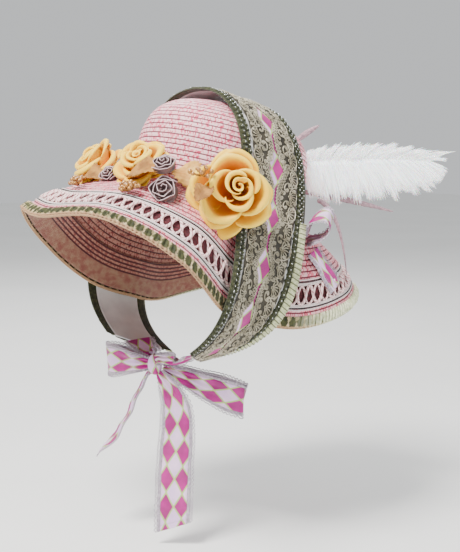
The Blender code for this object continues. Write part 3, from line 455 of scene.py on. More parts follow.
def make_harlequin_group():
    """Printed diamonds in two colours with a thin line between them."""
    group, n, given, out = new_group(
        "diamond_print", [("Place", VECTOR, None), ("Wide", FLOAT, DIAMOND_WIDE),
                          ("Long", FLOAT, DIAMOND_LONG), ("Line", FLOAT, 0.05)],
        [("Diamond", FLOAT, None), ("Line", FLOAT, None)])
    place = n.split(given["Place"])
    x = n.math("DIVIDE", place[1], given["Wide"])
    y = n.math("DIVIDE", place[0], given["Long"])
    rising, falling = n.math("ADD", x, y), n.math("SUBTRACT", x, y)
    cells = n.math("ADD", n.math("FLOOR", rising), n.math("FLOOR", falling))
    n.feed(out["Diamond"], n.math("ABSOLUTE", n.math("MODULO", cells, 2.0)))
    edges = [n.off_middle(value) for value in (rising, falling)]
    near_edge = n.math("SUBTRACT", 0.5, given["Line"])
    n.feed(out["Line"], n.math("GREATER_THAN", n.math("MAXIMUM", *edges), near_edge))
    return group


BRAID, WEAVE, DIAMONDS = make_braid_group(), make_weave_group(), make_harlequin_group()


def new_material(name, roughness, sheen=0.0, metallic=0.0, coat=0.0, translucent=0.0):
    """A material with its Principled shader; returns the material, its nodes and the shader."""
    material = bpy.data.materials.new(name)
    material.use_nodes = True
    nodes = Nodes(material.node_tree)
    shader = material.node_tree.nodes["Principled BSDF"]
    shader.inputs["Roughness"].default_value = roughness
    shader.inputs["Sheen Weight"].default_value = sheen
    shader.inputs["Sheen Roughness"].default_value = 0.4
    shader.inputs["Metallic"].default_value = metallic
    shader.inputs["Coat Weight"].default_value = coat
    shader.inputs["Subsurface Weight"].default_value = translucent
    shader.inputs["Subsurface Scale"].default_value = 0.003
    return material, nodes, shader


def call(nodes, group, **inputs):
    node = nodes.tree.nodes.new("ShaderNodeGroup")
    node.node_tree = group
    for key, value in inputs.items():
        nodes.feed(node.inputs[key.replace("_", " ")], value)
    return node.outputs


def uv_place(nodes):
    return nodes.add("ShaderNodeUVMap", {"uv_map": "place"}).outputs[0]


def object_place(nodes):
    return nodes.add("ShaderNodeTexCoord").outputs["Object"]


def bump(nodes, shader, height, strength, distance):
    node = nodes.add("ShaderNodeBump", None, Height=height, Strength=strength, Distance=distance)
    nodes.feed(shader.inputs["Normal"], node.outputs[0])


def rgb(*screen):
    """A colour from its 0..255 screen values of red, green and blue."""
    shares = [((c / 255 + 0.055) / 1.055) ** 2.4 if c > 10 else c / 255 / 12.92 for c in screen]
    return (*shares, 1.0)


def make_straw(name, pale, mid, fleck, groove, row):
    material, n, shader = new_material(name, 0.6)
    place = uv_place(n)
    braid = call(n, BRAID, Place=place, Row=row)
    fine = n.noise(object_place(n), 1100.0, 2.0)
    colour = n.blend(n.ramp(braid["Marl"], 0.45, 0.75), pale, mid)
    colour = n.blend(n.ramp(braid["Marl"], 0.84, 0.90, 0.0, 0.85), colour, fleck)
    colour = n.blend(n.ramp(fine, 0.50, 0.62, 0.0, 0.45), colour, mid)
    colour = n.blend(n.math("MULTIPLY", braid["Groove"], 0.75), colour, fleck)
    colour = n.blend(braid["Stitch"], colour, groove)
    broad = n.noise(object_place(n), 14.0, 3.0)
    colour = n.blend(n.ramp(broad, 0.35, 0.8, 0.0, 0.12), colour, mid)
    n.feed(shader.inputs["Base Color"], colour)
    n.feed(shader.inputs["Roughness"], n.ramp(braid["Marl"], 0.0, 1.0, 0.45, 0.7))
    bump(n, shader, n.math("ADD", braid["Height"], n.math("MULTIPLY", fine, 0.4)), 0.8, 0.0004)
    return material


def make_satin():
    """Plain satin: woven, with slow changes of tone."""
    material, n, shader = new_material("white_satin_cloth", 0.35, sheen=0.2, coat=0.05)
    weave = call(n, WEAVE, Place=uv_place(n), Thread=0.0004)
    colour, shade = rgb(232, 230, 228), rgb(206, 204, 202)
    mixed = n.blend(n.ramp(n.noise(object_place(n), 30.0, 3.0), 0.3, 0.75), colour, shade)
    mixed = n.blend(n.math("MULTIPLY", weave["Thread tone"], 0.18), mixed, shade)
    n.feed(shader.inputs["Base Color"], mixed)
    bump(n, shader, weave["Height"], 0.7, 0.00012)
    return material


def make_harlequin(name, reverse=False, long=DIAMOND_LONG, aside=0.0):
    """Printed ribbon; aside shifts its diamonds across, and the reverse shows them faintly."""
    material, n, shader = new_material(name, 0.42, sheen=0.2)
    place = uv_place(n)
    moved = n.add("ShaderNodeVectorMath", {"operation": "ADD"})
    n.feed(moved.inputs[0], place)
    n.feed(moved.inputs[1], (0.0, aside, 0.0))
    diamonds = call(n, DIAMONDS, Place=moved.outputs[0], Long=long)
    weave = call(n, WEAVE, Place=place, Thread=0.0003)
    tone = n.noise(object_place(n), 60.0, 3.0)
    magenta = n.mottle(tone, rgb(182, 4, 134), rgb(150, 2, 108))
    lilac = n.mottle(tone, rgb(238, 204, 238), rgb(222, 184, 230))
    colour = n.blend(diamonds["Diamond"], magenta, lilac)
    colour = n.blend(diamonds["Line"], colour, rgb(176, 204, 112))
    if reverse:
        colour = n.blend(0.72, colour, rgb(172, 134, 146))
    n.feed(shader.inputs["Base Color"], colour)
    bump(n, shader, weave["Height"], 0.5, 0.0001)
    return material


def make_cord_material(name, colour, shade, twist):
    """Twisted cord: strands run round its UV, whose first value is length and second the turn. The hollows
    between strands take the shade colour: painted shade.
    """
    material, n, shader = new_material(name, 0.6, sheen=0.1)
    place = n.split(uv_place(n))
    strand = n.math("ADD", n.math("DIVIDE", place[0], twist), n.math("MULTIPLY", place[1], 2.0))
    shaded_hollow = n.ramp(n.off_middle(strand), 0.28, 0.5)
    # painted shade in the hollows between the strands
    n.feed(shader.inputs["Base Color"], n.blend(shaded_hollow, colour, shade))
    bump(n, shader, n.math("SUBTRACT", 1.0, shaded_hollow), 0.8, 0.0004)
    return material


def make_petal():
    """Rose fabric, deeper orange towards the petal's root and paler towards its lip; UV v runs from root to
    lip.
    """
    material, n, shader = new_material("rose_petal", 0.6, sheen=0.15, translucent=0.10)
    shader.inputs["Subsurface Radius"].default_value = (1.0, 0.45, 0.15)
    place = n.split(uv_place(n))
    tone = n.noise(object_place(n), 45.0, 3.0)
    fibre = n.noise(object_place(n), 1400.0, 2.0)
    uneven = n.math("MULTIPLY", n.math("SUBTRACT", tone, 0.5), 0.25)
    lip = n.ramp(n.math("ADD", place[1], uneven), 0.15, 0.95)
    colour = n.blend(lip, rgb(216, 116, 4), rgb(255, 200, 22))
    colour = n.blend(n.ramp(place[1], 0.84, 1.0), colour, rgb(255, 224, 84))
    colour = n.blend(n.ramp(fibre, 0.3, 0.8, 0.0, 0.12), colour, rgb(232, 152, 40))
    n.feed(shader.inputs["Base Color"], colour)
    bump(n, shader, fibre, 0.35, 0.00012)
    return material


def make_lace_metal(name, pale, dark):
    """Metallic thread lace, tarnished unevenly."""
    material, n, shader = new_material(name, 0.42, metallic=0.35, sheen=0.1)
    place = object_place(n)
    tone = n.noise(place, 90.0, 4.0)
    thread = n.noise(place, 1600.0, 2.0)
    tarnish = n.math("ADD", n.math("MULTIPLY", tone, 0.6), n.math("MULTIPLY", thread, 0.4))
    n.feed(shader.inputs["Base Color"], n.blend(n.ramp(tarnish, 0.35, 0.65), pale, dark))
    bump(n, shader, thread, 0.7, 0.0003)
    return material


def make_velvet(name, pile, glint):
    material, n, shader = new_material(name, 0.9, sheen=0.25)
    place = object_place(n)
    tone = n.noise(place, 260.0, 3.0)
    n.feed(shader.inputs["Base Color"], n.blend(n.ramp(tone, 0.35, 0.75), pile, glint))
    bump(n, shader, n.noise(place, 2200.0, 2.0), 0.8, 0.0004)
    return material


EDGE_WIDTH = 0.012           # of the ruched ribbon, as its UV map has it
EDGE_TUFT = 0.0092           # pitch of its olive tufts


def make_edge_ribbon():
    """The brim's ruched edge: olive tufts between cream at the front, pale green pleats at the back with
    painted shade between them.
    """
    material, n, shader = new_material("edge_ribbon", 0.8, sheen=0.05)
    given = n.split(uv_place(n))
    length = given[0]
    tuft = n.off_middle(n.math("DIVIDE", length, EDGE_TUFT))
    place = object_place(n)
    tone = n.noise(place, 300.0, 3.0)
    fray = n.math("MULTIPLY", n.math("SUBTRACT", n.noise(place, 420.0, 3.0), 0.5), 0.55)
    olive = n.mottle(tone, rgb(34, 38, 12), rgb(66, 68, 30))
    cream = n.mottle(tone, rgb(214, 190, 150), rgb(134, 128, 78))
    middle = n.math("ABSOLUTE", n.math("SUBTRACT", given[1], 0.55 * EDGE_WIDTH))
    away = n.math("ADD", tuft, n.math("MULTIPLY", middle, 42.0))
    front = n.blend(n.ramp(n.math("ADD", away, fray), 0.40, 0.56), olive, cream)
    front = n.blend(n.ramp(given[1], 0.85 * EDGE_WIDTH, 0.95 * EDGE_WIDTH), front, rgb(176, 140, 104))
    pale = n.mottle(tone, rgb(236, 236, 204), rgb(196, 202, 156))
    shaded_hollow = n.off_middle(n.math("DIVIDE", length, PLEAT))
    # painted shade in the hollows between the rear pleats
    pale = n.blend(n.ramp(shaded_hollow, 0.30, 0.46), pale, rgb(104, 106, 66))
    rear = n.ramp(n.split(place)[1], -0.03, 0.03)
    n.feed(shader.inputs["Base Color"], n.blend(rear, front, pale))
    bump(n, shader, n.noise(place, 1500.0, 2.0), 0.6, 0.0003)
    return material


def make_pleat_ribbon():
    """Pale green pleats with shade between them; the UV's first value is length."""
    material, n, shader = new_material("green_pleat_ribbon", 0.65, sheen=0.3)
    length = n.split(uv_place(n))[0]
    middle = n.off_middle(n.math("DIVIDE", length, PLEAT))
    tone = n.noise(object_place(n), 300.0, 3.0)
    pale = n.mottle(tone, rgb(214, 216, 176), rgb(168, 174, 128))
    n.feed(shader.inputs["Base Color"], n.blend(n.ramp(middle, 0.28, 0.46), pale, rgb(88, 92, 54)))
    bump(n, shader, tone, 0.6, 0.0002)
    return material


NET_MESH = 0.0013
NET_SEAM = 0.0046            # pitch of the sewn rows that show through the net


def make_net():
    """Fine tan net under the brim; towards the crown the sewn rows behind it show through, in darker straw
    colours that are painted shade.
    """
    material, n, shader = new_material("brim_net", 0.85, sheen=0.2)
    place = n.split(uv_place(n))
    threads = []
    for slope in (0.6, -0.6):
        along = n.math("MULTIPLY", place[0], 1 / NET_MESH)
        way = n.math("ADD", along, n.math("MULTIPLY", place[1], slope / NET_MESH))
        threads.append(n.off_middle(way))
    thread = n.ramp(n.math("MAXIMUM", *threads), 0.26, 0.42)
    tone = n.noise(object_place(n), 160.0, 3.0)
    pale = n.mottle(tone, rgb(178, 150, 116), rgb(150, 96, 80))
    net = n.blend(thread, rgb(112, 52, 52), pale)
    seam = n.off_middle(n.math("DIVIDE", place[1], NET_SEAM))
    marl = n.ramp(n.noise(object_place(n), 420.0, 2.0), 0.42, 0.6)
    # the rows behind the net in a darker copy of the straw colours: painted shade under the brim
    straw = n.blend(marl, rgb(178, 124, 104), rgb(134, 70, 64))
    rows = n.blend(n.ramp(seam, 0.20, 0.34), straw, rgb(62, 14, 24))
    inside = n.math("LESS_THAN", place[1], 0.80 * BRIM_WIDTH)
    n.feed(shader.inputs["Base Color"], n.blend(inside, net, rows))
    bump(n, shader, thread, 0.8, 0.0003)
    return material


def make_plain(name, colour, shade, roughness, scale=200.0, **finish):
    """One colour that turns to its shade here and there; scale is how fine the change is."""
    material, n, shader = new_material(name, roughness, **finish)
    tone = n.noise(object_place(n), scale, 3.0)
    n.feed(shader.inputs["Base Color"], n.mottle(tone, colour, shade))
    bump(n, shader, tone, 0.5, 0.0001)
    return material


STRAW_UPPER = make_straw("straw_crown_rows", rgb(255, 218, 220), rgb(244, 128, 150), rgb(208, 28, 84),
                         rgb(66, 4, 28), CROWN_ROW)
STRAW_BRIM = make_straw("straw_brim_rows", rgb(250, 200, 202), rgb(232, 108, 128), rgb(196, 26, 74),
                        rgb(60, 4, 22), BRIM_ROW)
# a darker, browner copy of the straw for the brim's underside and the crown's inside: painted shade
STRAW_SHADED_UNDERSIDE = make_straw("straw_under_rows", rgb(172, 118, 100), rgb(138, 76, 66), rgb(100, 26, 38),
                         rgb(46, 8, 18), BRIM_ROW)
NET = make_net()
LINING = make_plain("dark_lining_cloth", rgb(96, 34, 42), rgb(52, 14, 20), 0.8, 400.0)
FLOOR = make_plain("pale_floor", rgb(246, 246, 244), rgb(242, 242, 240), 0.7, 3.0)
# each cord's second colour is painted shade in the hollows between its strands
OPEN_CORD = make_cord_material("openwork_cord", rgb(250, 220, 216), rgb(180, 84, 100), 0.0040)
WHITE_LINE = make_cord_material("white_line_cord", rgb(244, 232, 228), rgb(190, 160, 160), 0.0018)
BLACK_LINE = make_cord_material("black_line_cord", rgb(34, 26, 30), rgb(12, 8, 10), 0.0018)
EDGE_RIBBON = make_edge_ribbon()
SATIN = make_satin()
HARLEQUIN = make_harlequin("harlequin_print")
HARLEQUIN_BAND = make_harlequin("harlequin_band_print", long=EYE_PERIOD / 2, aside=DIAMOND_WIDE / 2)
HARLEQUIN_BACK = make_harlequin("harlequin_reverse", reverse=True)
GUIPURE = make_lace_metal("guipure_thread", rgb(196, 188, 166), rgb(134, 126, 104))
# the dark lace ground is painted shadow: it stands for the shade between the lace's motifs
GUIPURE_SHADOW_GROUND = make_lace_metal("guipure_ground", rgb(74, 68, 54), rgb(34, 30, 22))
OLIVE_VELVET = make_velvet("olive_velvet_pile", rgb(38, 42, 22), rgb(72, 74, 44))
GREEN_PLEAT = make_pleat_ribbon()
SILVER = make_plain("silver_bead", rgb(226, 228, 226), rgb(150, 156, 150), 0.22, metallic=0.85, coat=0.3)
LACE_EDGE = make_plain("grey_edge_lace", rgb(196, 184, 196), rgb(138, 124, 138), 0.6, 700.0, sheen=0.3)
PETAL = make_petal()
LEAF_CLOTH = make_plain("tan_leaf_cloth", rgb(186, 134, 60), rgb(128, 84, 32), 0.8, 90.0, sheen=0.05,
                        translucent=0.1)
LEAF_PALE = make_plain("pale_leaf_cloth", rgb(222, 176, 94), rgb(180, 128, 58), 0.8, 90.0, sheen=0.05,
                       translucent=0.1)
MAUVE_SATIN = make_plain("mauve_satin_ribbon", rgb(134, 106, 104), rgb(94, 70, 72), 0.42, 120.0, sheen=0.1)
MAUVE_EDGE = make_plain("mauve_ribbon_edge", rgb(222, 200, 200), rgb(190, 160, 164), 0.4, sheen=0.3)
BERRY_SKIN = make_plain("gold_berry", rgb(196, 142, 70), rgb(128, 80, 32), 0.3, 500.0, metallic=0.25,
                        coat=0.4)
WHITE_FEATHER = make_plain("white_barb", rgb(255, 255, 255), rgb(250, 250, 252), 0.8, 150.0,
                           translucent=0.5)
MAUVE_BARB = make_plain("mauve_barb", rgb(178, 146, 154), rgb(140, 112, 122), 0.6, 400.0, sheen=0.3)


def painted_glow(material, strength):
    """Painted glow: a little white light of its own, standing in for the light that thin barbs let through.
    """
    shader = material.node_tree.nodes["Principled BSDF"]
    shader.inputs["Emission Color"].default_value = (1.0, 1.0, 1.0, 1.0)
    shader.inputs["Emission Strength"].default_value = strength


# painted glow: the white barbs emit a little light, though they are no lamp
painted_glow(WHITE_FEATHER, 0.45)


# Hat surfaces, tipped back and put in the seat's frame

TIP = np.array(Matrix.Rotation(-TILT, 3, "X"))
SEAT = TIP @ np.array((0, 0, CROWN_HEIGHT - STRAW))


def to_frame(points):
    """From the upright hat to the row frame."""
    return points @ TIP.T - SEAT


def crown_radius(angle):
    return 1 / np.hypot(np.sin(angle) / CROWN_HALF_WIDTH, np.cos(angle) / CROWN_HALF_LENGTH)


def crown_profile():
    """Share of radius and of height by even steps of length up the crown's side, and that length."""
    turn = np.linspace(0, pi / 2, 2001)
    wide = np.cos(turn).clip(0) ** (2 / CROWN_SIDE_POWER)
    high = np.sin(turn) ** (2 / CROWN_TOP_POWER)
    run = along_lengths(np.stack([wide * CROWN_HALF_LENGTH, high * CROWN_HEIGHT], -1))
    even = np.linspace(0, run[-1], 241)
    return np.interp(even, run, wide), np.interp(even, run, high), run[-1]


HAT_TURN = np.arange(720) * 2 * pi / 720
BRIM_GRID_TO = 1.03          # of the brim's width, a little past its edge


def turned(out, height, share_high):
    """A surface of the hat from its radius and height at every turn; it faces up and out."""
    points = np.stack([out * np.sin(HAT_TURN)[:, None], -out * np.cos(HAT_TURN)[:, None], height], -1)
    surface = Surface(to_frame(points), 0.0, share_high, True, 1)
    if surface.normals[0, 60].dot((0, -1, 3)) < 0:
        surface.normals *= -1
    return surface


def crown_surface():
    wide, high, length = crown_profile()
    radius = crown_radius(HAT_TURN)[:, None] * np.maximum(wide, 1e-4)[None]
    return turned(radius, np.broadcast_to(CROWN_HEIGHT * high, radius.shape), 1.0), length


def brim_section(angle):
    """Radius and height by even steps of length from the brim's root past its edge."""
    folded = np.abs((np.degrees(angle) + 180) % 360 - 180)
    width = BRIM_WIDTH * read_rows(BRIM_RIBS, "angle", "width", folded)
    droop = read_rows(BRIM_RIBS, "angle", "droop", folded)
    reach, drop = width * np.cos(np.radians(droop)), width * np.sin(np.radians(droop))
    bend = mix(SHALLOW_BEND, STEEP_BEND, (droop - SHALLOW_DROOP) / (STEEP_DROOP - SHALLOW_DROOP))
    s = np.linspace(0, 1.02, 161)
    out = crown_radius(angle) + reach * (2 * s * (1 - s) * bend + s * s)
    down = -drop * (2 * s * (1 - s) * BEND_DROP + s * s)
    run = along_lengths(np.stack([out, down], -1))
    whole = np.interp(1.0, s, run)
    even = np.linspace(0, BRIM_GRID_TO, 207) * whole
    return np.interp(even, run, out), np.interp(even, run, down)


def brim_surface():
    sections = [brim_section(angle) for angle in HAT_TURN]
    return turned(*(np.array(values) for values in zip(*sections)), BRIM_GRID_TO)


CROWN, CROWN_RUN = crown_surface()
BRIM = brim_surface()


def row_ridge(length, pitch):
    """Relief of sewn rows: rounded ridges that lap like tiles, with a narrow groove between."""
    share = (length / pitch) % 1.0
    return ROW_RELIEF * (np.abs(np.sin(pi * share)) ** 0.55 * 0.75 + 0.25 * share)


def ring_wall(name, surface, shares, over, under, material, across, turns, measured=None):
    """A closed ring of the crown or brim; over and under are lifts and across is length, for each share.

    Its length round is measured on the middle line, or on the one given.
    """
    u = np.arange(turns)[:, None] / turns
    grid_over, grid_under = (surface.at(u, shares[None], lift[None]) for lift in (over, under))
    line = grid_over[:, len(shares) // 2 if measured is None else measured]
    lengths = along_lengths(np.concatenate([line, line[:1]]))
    return wall(name, grid_over, grid_under, material, lengths[:, None], across[None], wrap=True)


CROWN_TURNS, BRIM_TURNS, NET_TURNS = 144, 192, 216   # points of the meshes round the hat
ROW_POINTS = 4               # points of a sewn row across
CROWN_ROWS = 34
CROWN_SEWN_TO = 0.992        # of the way up the crown, where its centre begins
CENTRE_SHARES = np.array((0.985, CROWN_SEWN_TO, 0.998))
CENTRE_LIFTS = np.array((0.0, 0.0006, 0.0008))


def make_crown():
    shares = np.linspace(0.0, CROWN_SEWN_TO, CROWN_ROWS * ROW_POINTS + 1)
    over = row_ridge(shares * CROWN_RUN, CROWN_ROW) - ROW_RELIEF * 0.4
    under = -STRAW + row_ridge(shares * CROWN_RUN, CROWN_ROW) * 0.4
    crown = ring_wall("crown_braid", CROWN, shares, over, under, STRAW_UPPER, shares * CROWN_RUN,
                      CROWN_TURNS)
    # the crown's inside takes the darker straw: painted shade
    paint_under(crown, CROWN_TURNS * (len(shares) - 1), STRAW_SHADED_UNDERSIDE)
    kept(crown, "pink_straw", "straw_crown")
    u = np.arange(48)[:, None] / 48
    button = CROWN.at(u, CENTRE_SHARES[None], CENTRE_LIFTS[None])
    lid = wall("crown_centre", button, CROWN.at(u, CENTRE_SHARES[None], -STRAW), STRAW_UPPER,
               np.arange(49)[:, None] * 0.0003, np.array((0, 0.0015, 0.003))[None], wrap=True)
    kept(lid, "pink_straw")


def make_brim():
    """Upper rows pale, under rows darker with painted shade; the outer rows beyond the openwork are a ring
    of their own.
    """
    for name, low, high, node in (("brim_braid", 0.0, NET_FROM, "straw_brim"),
                                  ("edge_braid", NET_TO, STRAW_TO, "straw_edge")):
        count = int(round((high - low) * BRIM_WIDTH / BRIM_ROW))
        shares = np.linspace(low, high, count * ROW_POINTS + 1)
        run = (shares - low) / (high - low) * count * BRIM_ROW
        over = row_ridge(run, BRIM_ROW) - ROW_RELIEF * 0.4
        under = -STRAW - row_ridge(run[::-1], BRIM_ROW) * 0.5
        ring = ring_wall(name, BRIM, shares, over, under, STRAW_BRIM, run, BRIM_TURNS, measured=-1)
        paint_under(ring, BRIM_TURNS * (len(shares) - 1), STRAW_SHADED_UNDERSIDE)
        kept(ring, "pink_straw", node)


def make_net_facing():
    """Net over a dark lining: it closes the openwork from below and faces the brim's outer part."""
    shares = np.linspace(NET_FROM - 0.004, STRAW_TO - 0.004, 21)
    over = -STRAW - 0.0008 + 0.0002 * np.sin(shares * 160)
    net = ring_wall("brim_net_facing", BRIM, shares, over, over - 0.0009, NET, shares * BRIM_WIDTH,
                    NET_TURNS)
    kept(net, "net_cloth", "brim_net")
    backing = np.linspace(NET_FROM + 0.003, NET_TO - 0.003, 9)
    cloth = ring_wall("openwork_lining", BRIM, backing, np.full(9, -0.0017), np.full(9, -0.0024), LINING,
                      backing * BRIM_WIDTH, turns=240)
    kept(cloth, "net_cloth")


OPENWORK_TURNS = 52          # zigzags round the brim
OPENWORK_POINTS = 14         # of a zigzag
OPENWORK_MARGIN = 0.022      # of the brim's width, inside the edge lines
Rail = namedtuple("Rail", "name material radius places")
OPENWORK_RAILS = (           # places: share of the brim's width, and lift
    Rail("white", WHITE_LINE, 0.0009, ((NET_FROM + 0.004, 0.0002), (NET_FROM + 0.016, -0.0003),
                                       (NET_TO - 0.014, -0.0003), (NET_TO - 0.002, 0.0002))),
    Rail("black", BLACK_LINE, 0.0007, ((NET_FROM - 0.012, 0.0006), (NET_TO + 0.012, 0.0006))),
    Rail("outer", WHITE_LINE, 0.0008, ((NET_FROM - 0.026, 0.0006), (NET_TO + 0.026, 0.0006))),
)


def openwork_line(phase, middle_lift, wave_lift):
    """A soft zigzag round the brim between the two edge lines, lifted and sunk in turn."""
    u = np.arange(OPENWORK_TURNS * OPENWORK_POINTS) / (OPENWORK_TURNS * OPENWORK_POINTS)
    turn = u * OPENWORK_TURNS * 2 * pi
    wave = np.cos(turn + phase)
    wave = np.sign(wave) * np.abs(wave) ** 0.7
    low, high = NET_FROM + OPENWORK_MARGIN, NET_TO - OPENWORK_MARGIN
    return BRIM.at(u, (low + high) / 2 + (high - low) / 2 * wave, middle_lift + wave_lift * np.sin(turn))


def make_openwork():
    """Two twisted cords that cross in waves, one finer, between rails of white and black cord."""
    lines = [openwork_line(0.0, 0.0005, 0.0008), openwork_line(pi, 0.0001, -0.0006)]
    zigzag = cords("openwork_zigzag", lines, [0.0016, 0.0011], OPEN_CORD, sides=8, closed=True)
    kept(zigzag, "white_cord", "openwork_braid")
    u = np.arange(360) / 360
    for name, material, radius, places in OPENWORK_RAILS:
        lines = [BRIM.at(u, share, lift) for share, lift in places]
        rail = cords(f"openwork_{name}_line", lines, [radius] * len(lines), material, sides=5, closed=True)
        kept(rail, "white_cord")


PLEAT_HEIGHT = 0.0020
PLEAT_POINTS = 6             # points of a pleat along the ribbon
RUFFLE_GROUND, RUFFLE_UNDER = 0.0008, 0.0009
PRESSED_FADE = 6             # degrees over which the band's press on the pleats fades


def make_ruffle():
    """Ruched ribbon laid over the brim's edge and turned under it, its pleats irregular."""
    edge = BRIM.at(np.arange(1440) / 1440, RUFFLE_REACH)
    lengths = along_lengths(np.concatenate([edge, edge[:1]]))
    pleats = int(lengths[-1] / PLEAT)
    count = pleats * PLEAT_POINTS
    run = np.arange(count) / count * lengths[-1]
    u = np.interp(run, lengths, np.arange(1441) / 1440)
    random = np.random.default_rng(4)
    strength = np.repeat(random.uniform(0.65, 1.15, pleats), PLEAT_POINTS)
    phase = np.arange(count) / PLEAT_POINTS
    fold = strength * (0.5 - 0.5 * np.cos(phase * 2 * pi)) ** 0.8
    lean = np.repeat(random.uniform(-0.3, 0.3, pleats), PLEAT_POINTS) * PLEAT / lengths[-1]
    from_front = np.abs((u * 360 + 180) % 360 - 180)
    pressed = smooth_step((np.abs(from_front - PRESSED_AT) - PRESSED_HALF) / PRESSED_FADE)
    rows = np.linspace(0, 1, 8)
    share = RUFFLE_FROM + (RUFFLE_REACH + 0.004 - RUFFLE_FROM) * rows[None]
    share = share + 0.010 * (fold[:, None] - 0.3) * (rows[None] > 0.95)
    puff = np.sin(pi * np.clip(rows, 0, 0.92))[None] ** 0.5
    pleat = PLEAT_HEIGHT * (mix(0.35, 1.0, pressed) * fold)[:, None] * mix(0.35, 1.0, puff)
    lift = RUFFLE_GROUND + 0.0006 * puff + pleat
    place = u[:, None] + lean[:, None] * (rows - 0.5)[None]
    over = BRIM.at(place, share, lift)
    under = BRIM.at(place, share, np.minimum(lift - 0.0006, RUFFLE_UNDER))
    ruffle = wall("edge_ruching", over, under, EDGE_RIBBON, np.append(run, lengths[-1])[:, None],
                  (rows * EDGE_WIDTH)[None], wrap=True)
    kept(ruffle, "olive_velvet", "edge_ruffle")
    lips = [BRIM.at(u, RUFFLE_REACH + 0.008, -0.0008 + 0.0009 * fold),
            BRIM.at(u, RUFFLE_REACH - 0.004, -0.0022)]
    kept(cords("edge_welt", lips, [0.0010, 0.0008], EDGE_RIBBON, sides=5, closed=True), "olive_velvet")


# Band over the crown

HAT_NODES = ("straw_crown", "straw_brim", "openwork_braid", "straw_edge", "edge_ruffle")
FEEL_FROM = 0.4              # how far out the hat's solids are felt for


def node_tree(names):
    """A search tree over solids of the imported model."""
    points, faces = [], []
    for name in names:
        mesh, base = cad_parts[name].data, len(points)
        points += [v.co.copy() for v in mesh.vertices]
        faces += [[k + base for k in face.vertices] for face in mesh.polygons]
    return BVHTree.FromPolygons(points, faces)


def band_lattice():
    """Points of the band's inner face on its left half, by station from the top to the hem and line."""
    tree = node_tree(HAT_NODES)
    half = BAND_STATIONS // 2
    base = Vector(-SEAT)
    places, floors = [], []
    for i in range(half + 1):
        share = i / half
        front, rear, radius, stand = (float(read_rows(BAND_ROWS, "share", column, share, flat_end=False))
                                      for column in Station._fields[1:])
        for v in BAND_LINES:
            sweep = mix(FRONT_SWEEP, REAR_SWEEP, v) * share
            ahead = mix(front, rear, v) * CROWN_HALF_LENGTH
            floor = 0.0
            for n in range(FEELERS * FEELERS):
                nudge, turn = ((2 * m / (FEELERS - 1) - 1) * BAND_FEEL for m in divmod(n, FEELERS))
                near = sweep + turn / CROWN_HALF_WIDTH
                way = Vector((sin(near), 0, cos(near)))
                start = base + Vector((0, ahead + nudge, 0)) + way * FEEL_FROM
                hit = tree.ray_cast(start, -way, FEEL_FROM)
                floor = max(floor, 0.0 if hit[0] is None else FEEL_FROM - hit[3])
            floor += BAND_CLEARANCE if floor else 0.0
            floor += BAND_STAND * stand * max(0.0, 1 - v) ** 1.5
            places.append((sin(sweep), ahead, cos(sweep)))
            floors.append(max(floor, radius * FLAP_RADIUS))
    shape = (half + 1, len(BAND_LINES))
    floors = np.array(floors).reshape(shape)
    radii = floors.copy()
    for _ in range(BAND_EASING):
        padded = np.pad(radii, 1, mode="edge")
        padded[0] = padded[2]
        beside = (padded[:-2, 1:-1] + padded[2:, 1:-1] + padded[1:-1, :-2] + padded[1:-1, 2:]) / 4
        radii = np.maximum(floors, (radii + beside) / 2)
    places = np.array(places).reshape(shape + (3,))
    points = places * radii[..., None]
    points[..., 1] = places[..., 1]
    return points - SEAT


def band_surface():
    """The lattice made whole, left and right, and read on smooth curves both ways."""
    left = band_lattice()
    right = left[:0:-1] * (-1, 1, 1)
    lattice = np.concatenate([right, left])
    for _ in range(2):
        lattice[1:-1] = (lattice[:-2] + 2 * lattice[1:-1] + lattice[2:]) / 4
    columns = 121
    v = np.linspace(BAND_LINES[0], BAND_LINES[-1], columns)
    rows = np.array([read_line(line, BAND_LINES, v) for line in lattice])
    for _ in range(14):
        rows[:, 1:-1] = (rows[:, :-2] + 2 * rows[:, 1:-1] + rows[:, 2:]) / 4
    fine = np.stack([curve_through(rows[:, k], 481) for k in range(columns)], 1)
    return Surface(fine, BAND_LINES[0], BAND_LINES[-1], False, 1)


BAND = band_surface()
if BAND.normals[240, 60][2] < 0:
    BAND.normals *= -1
BAND_RUN = along_lengths(BAND.points[:, 60])
BAND_LENGTH = BAND_RUN[-1]
BAND_BASE_LIFT, RIBBON_LIFT, LACE_LIFT = 0.0012, 0.0017, 0.0030
GATHER_PITCH = 0.0046        # of the satin's fine gathers


def band_at(run, v, lift):
    """A place on the band: run in metres from the middle of the top, v across in band widths."""
    u = np.interp(np.asarray(run, float) + BAND_LENGTH / 2, BAND_RUN, np.linspace(0, 1, len(BAND_RUN)))
    return BAND.at(u, v, lift)


def eye_half(run):
    """Half opening between the lace rows, as a share of the band's width."""
    return mix(EYE_SHUT, EYE_OPEN, np.abs(np.sin(np.abs(run) / EYE_PERIOD * pi)) ** EYE_SHARPNESS)


def band_wall(name, v_low, v_high, low, high, material, columns, relief=None):
    """A strip along the band; v_low and v_high are numbers or functions of the run."""
    run = np.linspace(-BAND_LENGTH / 2, BAND_LENGTH / 2, 360)
    first, last = (v(run) if callable(v) else np.full(len(run), v) for v in (v_low, v_high))
    v = first[:, None] + (last - first)[:, None] * np.linspace(0, 1, columns)[None]
    extra = relief(run[:, None], v) if relief else 0.0
    over, under = band_at(run[:, None], v, high + extra), band_at(run[:, None], v, low)
    return wall(name, over, under, material, run[:, None] + 15 * EYE_PERIOD, v * BAND_WIDTH)


def satin_gathers(run, v):
    wave = np.sin(run / GATHER_PITCH * 2 * pi + 3 * np.sin(run * 90)) * 0.5 + 0.5
    return 0.0005 * wave * np.clip(np.abs(v - 0.5) * 3 - 0.8, 0, 1)


